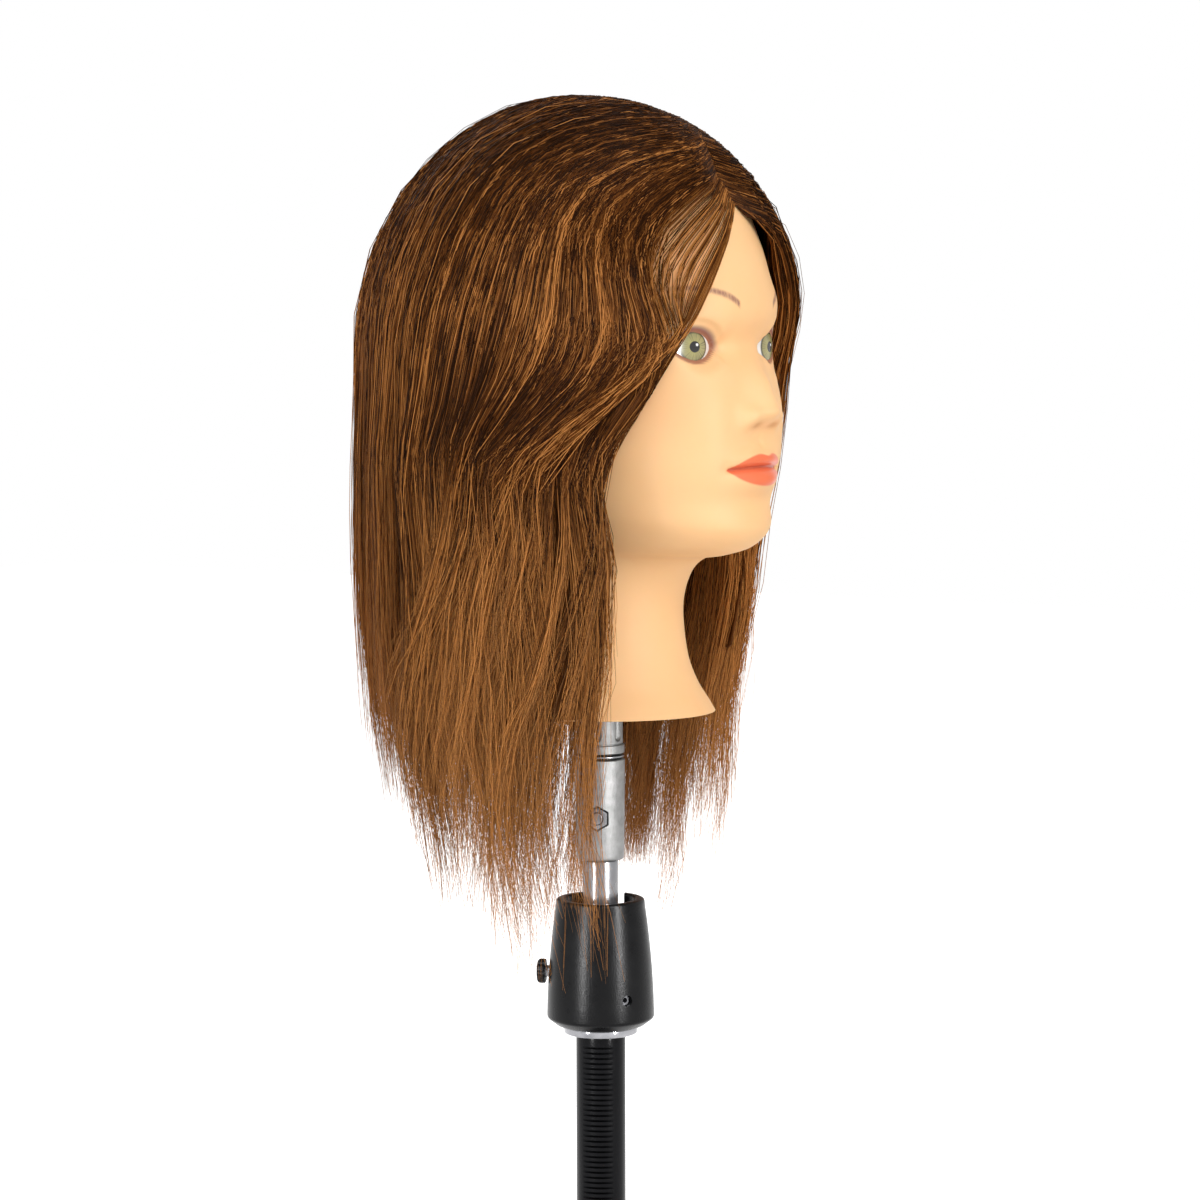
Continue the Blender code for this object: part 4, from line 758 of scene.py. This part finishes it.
def trimEnds(centre, cut):  # strands stop short of that place
    points = centre.shape[1]
    x, y, z = centre[..., 0], centre[..., 1], centre[..., 2]
    wayX, wayY = tiltRoom["way"]
    inside = (np.abs(x * wayY - y * wayX) < tiltRoom["half"]) & (x * wayX + y * wayY > 0) & (z < tiltRoom["top"])
    rows = np.arange(len(centre))
    entry = np.maximum(inside.argmax(axis=1), 1)
    above = z[rows, entry - 1] - tiltRoom["top"]
    part = np.clip(above / np.maximum(z[rows, entry - 1] - z[rows, entry], 1e-6), 0, 1)
    last = np.where(inside.any(axis=1), entry - 1 + part - cut, points - 1)
    step = np.linspace(0, 1, points)[None, :] * last[:, None]
    lower = np.minimum(step.astype(int), points - 2)
    part = (step - lower)[..., None]
    return centre[rows[:, None], lower] * (1 - part) + centre[rows[:, None], lower + 1] * part


def growStrands(name, side, low, high, seed, lockSeed, paint, deep):
    form = strandForm
    count, points = form["perPiece"], form["points"]
    lockDice = np.random.default_rng(lockSeed)
    dice = np.random.default_rng(seed)
    share = low + (high - low) * dice.random(count * 5)
    if side < 0 and low == 0:  # a thin fringe over the forehead
        share = share[dice.random(len(share)) < 0.019 + 0.05 * smooth(0.035, 0.015, share) + 0.99 * smooth(0.14, 0.22, share) ** 3]
    share = share[:count]
    span = high - low
    lock = np.minimum(((share - low) / span * form["locks"]).astype(int), form["locks"] - 1)
    tuft = np.minimum(((share - low) / span * form["tufts"]).astype(int), form["tufts"] - 1)
    lockMid = low + (lock + 0.5) / form["locks"] * span
    tuftMid = low + (tuft + 0.5) / form["tufts"] * span
    lockPhase, tuftPhase = lockDice.random(form["locks"]) * 6.28, lockDice.random(form["tufts"]) * 6.28
    lockShift, tuftShift = lockDice.standard_normal(form["locks"]) * 0.026, lockDice.standard_normal(form["tufts"]) * 0.016
    lockLift, tuftLift = lockDice.standard_normal(form["locks"]) * 0.0026, lockDice.standard_normal(form["tufts"]) * 0.0018
    lockTone, tuftTone = lockDice.standard_normal(form["locks"]), lockDice.standard_normal(form["tufts"])
    if side > 0:
        lockShift = lockShift * 0.45  # the left side hangs more evenly
    lockReach = 1 + 0.045 * lockDice.standard_normal(form["locks"])
    layer = dice.random(count)
    shortest = 0.40 if side < 0 else 0.24
    reach = np.clip(lockReach[lock] * (1.06 - shortest * dice.random(count) ** 0.8), 0.60, 1.12)
    t = np.linspace(0, 1, points)[None, :]
    first = -0.035 * dice.random(count)[:, None] ** 2  # some roots stand across the parting
    v = first + t * (reach[:, None] - first)
    fall = np.clip((v - form["start"]) / (1 - form["start"]), 0, 1.2)
    near = np.minimum(fall, 1)
    spread = (0.4 + 0.6 * dice.random(count))[:, None]
    shareAt = share[:, None] + (tuftMid - share)[:, None] * 0.7 * near * spread
    shareAt = shareAt + (lockMid - share)[:, None] * 0.30 * near**2 * spread
    shareAt = shareAt + (lockShift[lock] + tuftShift[tuft] + 0.013 * dice.standard_normal(count))[:, None] * fall**1.3
    shareAt = shareAt - 0.40 * (share * smooth(0.80, 0.30, share))[:, None] * (1 - smooth(0.0, 0.22, v))  # combed back from the hairline
    press = np.zeros_like(v)
    if side < 0 and low == 0:  # the fringe lies on the forehead
        press = smooth(0.19, 0.13, share)[:, None] * smooth(0.40, 0.24, v)
    shareAt = np.maximum(sweepTemple(shareAt, v, side), 0) - 0.01 * press
    lift = np.zeros_like(v)
    if side < 0 and low == 0:  # the upper layer is swept back over the cheek, the lower one falls beside the face
        upper = ((dice.random(count) < 0.60) & (share < 0.40))[:, None]
        back = np.maximum(0, 0.36 - shareAt) * (0.45 + 0.5 * dice.random(count))[:, None] * smooth(0.33, 0.62, v) - 0.05 * smooth(0.62, 0.90, v)
        shareAt = shareAt + upper * back
        swept = (lockDice.random(form["tufts"]) < 0.38)[tuft] & (share < 0.44)
        shareAt = shareAt + (swept * (0.14 + 0.14 * lockDice.random(form["tufts"])[tuft]))[:, None] * smooth(0.50, 1.0, v)
        lift = upper * (0.0050 * np.exp(-(((v - 0.43) / 0.06) ** 2)) - 0.0050 * np.exp(-(((v - 0.575) / 0.06) ** 2)))
        lift = lift - (~upper) * 0.0050 * np.exp(-(((v - 0.47) / 0.09) ** 2))
        lift = lift * smooth(0.42, 0.22, share)[:, None] + swept[:, None] * 0.0035 * smooth(0.5, 0.7, v)
    if side > 0:
        shareAt = shareAt + 0.06 * near**2  # the left side's ends draw back to the holder
    centre = hairPath(np.clip(shareAt, -0.06, 1.03), v, side)
    inward = inwardOf(centre)
    along = np.gradient(centre, axis=1)
    along /= np.linalg.norm(along, axis=-1, keepdims=True) + 1e-12
    sideways = np.cross(along, inward)
    level = centre[..., 2]
    depth = layer[:, None] * (0.0034 + (0.018 if deep else 0.008) * near) - lift
    depth = depth - (lockLift[lock] + tuftLift[tuft])[:, None] * near
    loose = (dice.random(count) < 0.08)[:, None] * np.minimum(fall + 0.3 * t, 1) ** 1.2
    depth = depth - loose * 0.005 * dice.random(count)[:, None]
    room = skinDepth(centre, inward)
    depth = depth + (np.minimum(room, 0.02) - depth) * rootPull(share[:, None], v)
    depth = depth + (np.minimum(room, 0.03) - 0.0015 - depth) * press * (0.9 + 0.1 * dice.random(count))[:, None]
    if side > 0 and low == 0:  # the left side's front lengths lie against the face
        inner = (dice.random(count) ** 1.3)[:, None] * smooth(0.32, 0.10, share)[:, None] * smooth(0.04, 0.20, v) * smooth(0.85, 0.55, v)
        depth = depth + (np.minimum(room, 0.024) - 0.0025 - depth) * inner
    depth = depth - ((dice.random(count) < 0.02) * 0.0030 * dice.random(count))[:, None] * np.sin(np.pi * np.minimum(1, v / 0.5))  # flyaways
    depth = np.minimum(depth, room - 0.0006)
    wave = np.sin(level * 50 + lockPhase[lock][:, None])
    ripple = np.sin(level * (95 + 30 * dice.random(count))[:, None] + tuftPhase[tuft][:, None] + dice.random(count)[:, None])
    wander = near**1.5 * np.sin(level * (26 + 34 * dice.random(count))[:, None] + 6.28 * dice.random(count)[:, None])
    sway = near * (0.0036 * wave + 0.0015 * ripple) + 0.0042 * np.abs(dice.standard_normal(count))[:, None] * wander
    curl = loose * 0.006 * np.sin(t * (5 + 5 * dice.random(count))[:, None] + 6.28 * dice.random(count)[:, None])
    centre = centre + inward * depth[..., None] + sideways * (sway + curl)[..., None]
    if side > 0:
        centre = trimEnds(centre, 0.6 * dice.random(count))
    radius = form["radius"] * (0.7 + 0.6 * dice.random(count))[:, None] * (1 - 0.75 * t**2.5) * np.ones_like(v)
    # painted shade: strands lying deeper in the hair (higher layer) get a darker tone
    tone = (0.52 + 0.40 * dice.standard_normal(count) + 0.05 * lockTone[lock] + 0.07 * tuftTone[tuft] - 0.22 * layer)[:, None]
    tone = tone + 0.03 - 0.42 * (1 - smooth(0.14, 0.42, v)) + 0.24 * smooth(0.45, 0.90, v)
    if side > 0:
        # painted light: the left side's hair, which lies in shade, is made lighter, most towards the ends
        tone = tone + 0.06 + 0.20 * smooth(0.40, 0.75, v)
    elif low == 0:  # the fringe lengths on the forehead get a lighter tone; painted shade darkens the hollow where the lengths tuck behind the cheek
        tone = tone + (0.30 + 0.3 * (0.6 - tone)) * press - 0.62 * np.exp(-(((v - 0.47) / 0.08) ** 2)) * (smooth(0.18, 0.27, share) * smooth(0.50, 0.38, share))[:, None]
    mesh = makeStrandMesh(name, count, points)
    sheathe(mesh, centre, radius, np.clip(tone, 0.01, 0.99))
    piece = addPiece(name, mesh, paint, "head")
    return piece


def makeUnderHair(name, side, low, high, paint):
    shape = bmesh.new()
    bmesh.ops.create_grid(shape, x_segments=48, y_segments=80, size=0.5)
    mesh = bpy.data.meshes.new(name)
    shape.to_mesh(mesh)
    shape.free()
    flat = readCoords(mesh)
    first = 0.195 if low == 0 and side < 0 else low
    share = first + (high - first) * (flat[:, 0] + 0.5)
    v = 0.012 + (0.5 - flat[:, 1]) * 0.80
    points = hairPath(sweepTemple(share, v, side), v, side)
    inward = inwardOf(points)
    fall = np.clip((v - strandForm["start"]) / (1 - strandForm["start"]), 0, 1)
    rib = 0.0012 * np.sin(share * 260) * (0.2 + fall)
    depth = 0.0040 + 0.0085 * fall + rib
    room = skinDepth(points, inward)
    depth = depth + (np.minimum(room, 0.02) - depth) * rootPull(share, v) + 0.0012
    points = points + inward * np.minimum(depth, room - 0.0010)[:, None]
    writeCoords(mesh, points)
    chart = mesh.uv_layers.new(name="OFBake")
    corners = np.empty(len(mesh.loops), dtype=np.int32)
    mesh.loops.foreach_get("vertex_index", corners)
    chart.data.foreach_set("uv", np.stack((share, v), axis=1)[corners].astype(np.float32).ravel())
    if side > 0:
        mesh.flip_normals()
    piece = addPiece(name, mesh, paint, "head")
    wall = piece.modifiers.new("wall", "SOLIDIFY")
    wall.thickness = 0.0008
    wall.offset = -1


hairPieces = (
    ("hairFrontRight", "hair_front_right", -1, 0.0, 0.5, 3),
    ("hairBackRight", "hair_back_right", -1, 0.5, 1.0, 2),
    ("hairBackLeft", "hair_back_left", 1, 0.5, 1.0, 1),
    ("hairFrontLeft", "hair_front_left", 1, 0.0, 0.5, 2),
)


def makeHair():
    strandPaint = makeHairPaint("hairStrands", False)
    underPaint = makeHairPaint("hairUnder", True)
    for index, (name, node, side, low, high, layers) in enumerate(hairPieces):
        for number in range(layers):
            seed = strandForm["seed"] * 100 + index * 10 + number
            piece = growStrands(f"{name}{number + 1}", side, low, high, seed, strandForm["seed"] + index, strandPaint, number == 0)
            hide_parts(node)
        makeUnderHair(name + "Under", side, low, high, underPaint)
    print("hair made")


makeHair()

# finishes for the holder: name, colour, darker colour, roughness, its spread, grain scale, bump, metallic, shine
holderLook = dict(
    cap=("capPlastic", (0.010, 0.010, 0.011), (0.005, 0.005, 0.006), 0.45, 0.08, 160.0, 0.15, 0.0, 0.10),
    column=("columnPaint", (0.006, 0.006, 0.007), (0.003, 0.003, 0.004), 0.22, 0.06, 130.0, 0.12, 0.0, 0.07),
    chrome=("flangeChrome", (0.44, 0.44, 0.46), (0.12, 0.12, 0.13), 0.14, 0.05, 130.0, 0.05, 0.85, 0.2),
    housing=("housingBlack", (0.006, 0.006, 0.0065), (0.003, 0.003, 0.0035), 0.29, 0.07, 150.0, 0.18, 0.0, 0.10),
    cast=("castAluminium", (0.35, 0.35, 0.345), (0.11, 0.11, 0.11), 0.42, 0.10, 210.0, 0.60, 0.35, 0.3),
    steel=("screwSteel", (0.30, 0.30, 0.31), (0.15, 0.15, 0.16), 0.26, 0.07, 140.0, 0.10, 0.55, 0.3),
    darkSteel=("grubSteel", (0.10, 0.10, 0.105), (0.05, 0.05, 0.055), 0.35, 0.07, 140.0, 0.10, 1.0, 0.3),
    plastic=("knobPlastic", (0.010, 0.010, 0.011), (0.005, 0.005, 0.006), 0.42, 0.08, 170.0, 0.15, 0.0, 0.12),
    nylon=("seatNylon", (0.80, 0.79, 0.74), (0.70, 0.68, 0.62), 0.45, 0.08, 140.0, 0.10, 0.0, 0.3),
    brass=("padBrass", (0.72, 0.52, 0.22), (0.60, 0.42, 0.16), 0.28, 0.06, 140.0, 0.08, 1.0, 0.3),
    socket=("socketPlastic", (0.75, 0.72, 0.66), (0.66, 0.62, 0.55), 0.48, 0.08, 90.0, 0.10, 0.0, 0.3),
    foam=("coreFoam", (0.85, 0.80, 0.62), (0.70, 0.64, 0.46), 0.88, 0.06, 220.0, 0.60, 0.0, 0.2),
)
finishes = {key: grained(*values) for key, values in holderLook.items()}
holderTurn = math.radians(-65)


def rounded(corners):  # corners as (radius, height, fillet)
    outline = []
    for i, (r, z, fillet) in enumerate(corners):
        here = Vector((r, z))
        if not fillet or i in (0, len(corners) - 1):
            outline.append(here)
            continue
        before, after = Vector(corners[i - 1][:2]) - here, Vector(corners[i + 1][:2]) - here
        cut = min(fillet, before.length * 0.48, after.length * 0.48)
        first, last = here + before.normalized() * cut, here + after.normalized() * cut
        for k in range(5):
            t = k / 4
            outline.append(first * (1 - t) ** 2 + here * 2 * t * (1 - t) + last * t * t)
    return outline


def lathe(corners, steps=96, closed=False):
    shape = bmesh.new()
    verts = [shape.verts.new((p.x, 0, p.y)) for p in rounded(corners)]
    edges = [shape.edges.new(pair) for pair in zip(verts, verts[1:])]
    if closed:
        edges.append(shape.edges.new((verts[-1], verts[0])))
    bmesh.ops.spin(shape, geom=verts + edges, cent=(0, 0, 0), axis=(0, 0, 1), angle=2 * math.pi, steps=steps, use_merge=True, use_duplicate=False)
    bmesh.ops.remove_doubles(shape, verts=shape.verts, dist=1e-6)
    bmesh.ops.recalc_face_normals(shape, faces=shape.faces)
    return shape


def barrel(radius, low, high, place, segments=48):
    shape = bmesh.new()
    bmesh.ops.create_cone(shape, cap_ends=True, segments=segments, radius1=radius, radius2=radius, depth=high - low, matrix=place @ Matrix.Translation((0, 0, (low + high) / 2)))
    return shape


def carve(shape, cutters):
    things = []
    for number, form in enumerate([shape] + cutters):
        mesh = bpy.data.meshes.new(f"carve{number}")
        form.to_mesh(mesh)
        form.free()
        thing = bpy.data.objects.new(f"carve{number}", mesh)
        scene.collection.objects.link(thing)
        things.append(thing)
    for cutter in things[1:]:
        cut = things[0].modifiers.new("cut", "BOOLEAN")
        cut.object = cutter
        cut.operation = "DIFFERENCE"
        cut.solver = "EXACT"
    carved = bpy.data.meshes.new_from_object(things[0].evaluated_get(bpy.context.evaluated_depsgraph_get()))
    for thing in things:
        mesh = thing.data
        bpy.data.objects.remove(thing, do_unlink=True)
        bpy.data.meshes.remove(mesh)
    return carved


def addHolderPiece(name, node, shape, key, body, turned=True, angle=32):
    mesh = shape
    if isinstance(shape, bmesh.types.BMesh):
        mesh = bpy.data.meshes.new(name)
        shape.to_mesh(mesh)
        shape.free()
    mesh.name = name
    if turned:
        mesh.transform(Matrix.Rotation(holderTurn, 4, "Z"))
    piece = addPiece(name, mesh, finishes[key], body, angle)
    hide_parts(node)
    return piece


column = dict(radius=0.0125, bore=0.0085, foot=0.0043, top=0.1202, pitch=0.00265, groove=0.0011, depth=0.0027, margin=0.0028)


def makeColumn():
    c = column
    tube = lathe([(c["bore"], c["foot"], 0), (c["radius"], c["foot"], 0.0006), (c["radius"], c["top"], 0.0006), (c["bore"], c["top"], 0)], closed=True)
    teeth = bmesh.new()
    for i in range(int((c["top"] - c["foot"] - 2 * c["margin"]) / c["pitch"])):
        z = c["foot"] + c["margin"] + (i + 0.5) * c["pitch"]
        size = Matrix.Diagonal((c["radius"] * 2, c["depth"] * 2, c["groove"], 1))
        bmesh.ops.create_cube(teeth, size=1, matrix=Matrix.Translation((0, -c["radius"], z)) @ size)
    addHolderPiece("rackColumn", "rack_column", carve(tube, [teeth]), "column", "stand")
    cap = lathe([(0, 0, 0), (c["radius"], 0, 0.0014), (c["radius"], 0.004, 0.0005), (c["bore"] - 0.0003, 0.004, 0), (c["bore"] - 0.0003, 0.016, 0.001), (0, 0.016, 0)])
    addHolderPiece("footCap", "column_foot_cap", cap, "cap", "stand")
    flange = lathe([(0.00505, 0.1245, 0), (0.01875, 0.1245, 0.0009), (0.01875, 0.1205, 0.0009), (0.0082, 0.1205, 0.0003), (0.0082, 0.1065, 0.0006), (0.00505, 0.1065, 0)], closed=True)
    addHolderPiece("columnFlange", "column_flange", flange, "chrome", "stand")


housing = dict(foot=0.1248, rim=0.1890, footRadius=0.0222, belly=0.0272, lip=0.0223, bore=0.0175, floor=0.1485, round=0.0016, notch=0.0101, ball=0.173, lock=0.151, grub=0.1408, grubTurn=38)


def makeHousing():
    h = housing
    tall = h["rim"] - h["foot"]
    studTop = 0.1245 - 0.0165 + 0.034 + 0.0003
    side = [(h["belly"] - (h["belly"] - h["lip"]) * t**1.9, h["foot"] + (tall - h["round"]) * t, 0) for t in (0.97, 0.90, 0.80, 0.70, 0.58, 0.45, 0.32, 0.2)]
    corners = [(0, h["floor"], 0), (h["bore"], h["floor"], 0.001), (h["bore"], h["rim"], 0.0012), (h["lip"], h["rim"], h["round"])]
    corners += side + [(h["belly"], h["foot"] + tall * 0.06, 0.0012), (h["footRadius"], h["foot"], 0.0006), (0.00505, h["foot"], 0), (0.00505, studTop, 0), (0, studTop, 0)]
    body = lathe(corners, 128)
    slot = bmesh.new()
    outline = [(h["notch"], 0.04)] + [(h["notch"] * math.cos(math.pi * i / 20), -h["notch"] * math.sin(math.pi * i / 20)) for i in range(21)] + [(-h["notch"], 0.04)]
    bmesh.ops.create_circle(slot, segments=len(outline), radius=1, cap_ends=True)
    slot.verts.ensure_lookup_table()
    for vert, (x, z) in zip(slot.faces[:][0].verts, outline):
        vert.co = (x, 0, h["ball"] + z)
    grown = bmesh.ops.extrude_face_region(slot, geom=slot.faces[:])["geom"]
    bmesh.ops.translate(slot, verts=[g for g in grown if isinstance(g, bmesh.types.BMVert)], vec=(0, 0.05, 0))
    bmesh.ops.recalc_face_normals(slot, faces=slot.faces)
    lockPlace = Matrix.Translation((0, 0, h["lock"])) @ Matrix.Rotation(math.radians(-90), 4, "Y")
    grubPlace = Matrix.Translation((0, 0, h["grub"])) @ Matrix.Rotation(math.radians(h["grubTurn"]), 4, "Z") @ Matrix.Rotation(math.pi / 2, 4, "X")
    mesh = carve(body, [slot, barrel(0.0033, 0.004, 0.04, lockPlace), barrel(0.0028, 0.004, 0.04, grubPlace)])
    addHolderPiece("ballHousing", "ball_housing", mesh, "housing", "stand")
    grub = barrel(0.0025, 0.00505, h["belly"] - 0.0030, grubPlace)
    key = barrel(0.0025 / math.sqrt(3), h["belly"] - 0.0058, 0.04, grubPlace, 6)
    addHolderPiece("grubScrew", "grub_screw", carve(grub, [key]), "darkSteel", "stand")


spigot = dict(stem=0.009, ballRadius=0.0155, tenon=0.0055, shoulder=0.2087, foot=0.209, top=0.260, radius=0.0125, footRadius=0.0121, bolt=0.231, pocket=0.0076)


def makeSpigot():
    g = spigot
    ball = housing["ball"]
    arc = [(g["ballRadius"] * math.cos(a), ball + g["ballRadius"] * math.sin(a), 0) for a in np.linspace(math.acos(g["stem"] / g["ballRadius"]), -math.pi / 2 + 1e-4, 28)]
    arc[-1] = (0, ball - g["ballRadius"], 0)
    stem = lathe([(0, 0.2497, 0), (g["tenon"], 0.2497, 0.0006), (g["tenon"], g["shoulder"], 0), (g["stem"], g["shoulder"], 0.0006)] + arc, 80)
    across = Matrix.Translation((0, 0, g["bolt"])) @ Matrix.Rotation(math.pi / 2, 4, "X")
    addHolderPiece("ballStem", "ball_stem", carve(stem, [barrel(0.0033, -0.03, 0.03, across)]), "steel", "spigot")
    body = lathe([(0, 0.2522, 0), (0.0043, 0.2522, 0), (0.0043, g["top"], 0), (g["radius"], g["top"], 0.0007), (g["footRadius"], g["foot"], 0.0020), (0.0058, g["foot"], 0), (0.0058, 0.25, 0), (0, 0.25, 0)])
    hexPocket = barrel(0.0116 / math.sqrt(3), g["pocket"], 0.03, across, 6)
    headPocket = barrel(0.0056, -0.03, -g["pocket"], across)
    addHolderPiece("spigotBody", "spigot_body", carve(body, [barrel(0.0033, -0.03, 0.03, across), hexPocket, headPocket]), "cast", "spigot")
    nut = bmesh.new()
    bmesh.ops.create_cone(nut, cap_ends=True, segments=6, radius1=0.010 / math.sqrt(3), radius2=0.010 / math.sqrt(3), depth=0.0044, matrix=across @ Matrix.Translation((0, 0, 0.0079 + 0.0022)))
    rims = [e for e in nut.edges if any(len(f.verts) == 6 for f in e.link_faces)]
    bmesh.ops.bevel(nut, geom=rims, offset=0.0005, offset_type="OFFSET", affect="EDGES", segments=2, profile=0.5, material=-1)
    addHolderPiece("crossNut", "cross_nut", carve(nut, [barrel(0.0033, -0.03, 0.03, across)]), "steel", "spigot", angle=25)
    bolt = lathe([(0, 0.01275, 0), (0.003, 0.01275, 0.0006), (0.003, -0.0079, 0), (0.005, -0.0079, 0.0004), (0.005, -0.0123, 0.0008), (0, -0.0123, 0)], 48)
    bmesh.ops.transform(bolt, matrix=across, verts=bolt.verts)
    addHolderPiece("crossBolt", "cross_bolt", bolt, "steel", "spigot")
    for name, node, radius, low, high, key, body, slot in (
        ("washerLower", "friction_washer_lower", 0.0113, 0.2603, 0.2609, "plastic", "spigot", "black_plastic"),
        ("washerSteel", "steel_washer", 0.0122, 0.2612, 0.2620, "steel", "spigot", "steel"),
        ("washerUpper", "friction_washer_upper", 0.0113, 0.2623, 0.2629, "plastic", "plug", "black_plastic"),
    ):
        ring = lathe([(0.0043, low, 0), (radius, low, 0.0002), (radius, high, 0.0002), (0.0043, high, 0)], closed=True)
        addHolderPiece(name, node, ring, key, body)


plug = dict(foot=0.2632, collar=0.0123, collarTop=0.2674, grooveTop=0.2681, footRadius=0.0116, topRadius=0.0104, top=0.3352, flutes=6, fluteRadius=0.0027, fluteDepth=0.0018, fluteFoot=0.2690)


def makePlug():
    g = plug
    body = lathe([
        (0.0065, g["top"], 0), (g["topRadius"], g["top"], 0.0015), (g["footRadius"], g["grooveTop"], 0.0003), (g["footRadius"] - 0.0009, g["grooveTop"], 0),
        (g["footRadius"] - 0.0009, g["collarTop"], 0), (g["collar"], g["collarTop"], 0.0005), (g["collar"], g["foot"], 0.0004), (0.0043, g["foot"], 0), (0.0043, 0.3152, 0), (0.0065, 0.3152, 0),
    ], closed=True)
    cutters = []
    for i in range(g["flutes"]):
        spot = Matrix.Rotation(2 * math.pi * i / g["flutes"], 4, "Z") @ Matrix.Translation((0, -(g["footRadius"] - g["fluteDepth"] + g["fluteRadius"]), g["fluteFoot"] + g["fluteRadius"]))
        ball = bmesh.new()
        bmesh.ops.create_uvsphere(ball, u_segments=28, v_segments=14, radius=g["fluteRadius"], matrix=spot)
        middle = g["fluteFoot"] + g["fluteRadius"]
        bmesh.ops.translate(ball, verts=[v for v in ball.verts if v.co.z > middle + 1e-5], vec=(0, 0, 0.08))
        cutters.append(ball)
    addHolderPiece("flutedPlug", "fluted_plug", carve(body, cutters), "cast", "plug")


knob = dict(radius=0.0062, foot=0.0281, end=0.0325, scallops=8, scallopRadius=0.0016)


def makeKnob():
    k = knob
    body = lathe([(0, k["end"], 0), (k["radius"], k["end"] - 0.0004, 0.0016), (k["radius"], k["foot"], 0.0006), (0.0033, k["foot"], 0), (0.0033, 0.0305, 0), (0, 0.0305, 0)], 64)
    cutters = []
    for i in range(k["scallops"]):
        turn = 2 * math.pi * i / k["scallops"]
        reach = k["radius"] + k["scallopRadius"] * 0.45
        cutters.append(barrel(k["scallopRadius"], 0.02, 0.04, Matrix.Translation((reach * math.cos(turn), reach * math.sin(turn), 0)), 20))
    mesh = carve(body, cutters)
    mesh.transform(Matrix.Translation((0, 0, housing["lock"])) @ Matrix.Rotation(math.radians(-90), 4, "Y"))
    addHolderPiece("lockKnob", "lock_knob", mesh, "plastic", "knob")


makeColumn()
makeHousing()
makeSpigot()
makePlug()
makeKnob()
nodeFinish = dict(
    column_stud="steel", retaining_ring="steel", ball_seat="nylon", lock_pad="brass", lock_screw="steel",
    swivel_screw="steel", neck_socket="socket", foam_core="foam",
)
for node, key in nodeFinish.items():
    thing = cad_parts[node]
    thing.data.materials.clear()
    thing.data.materials.append(finishes[key])
print("holder made")
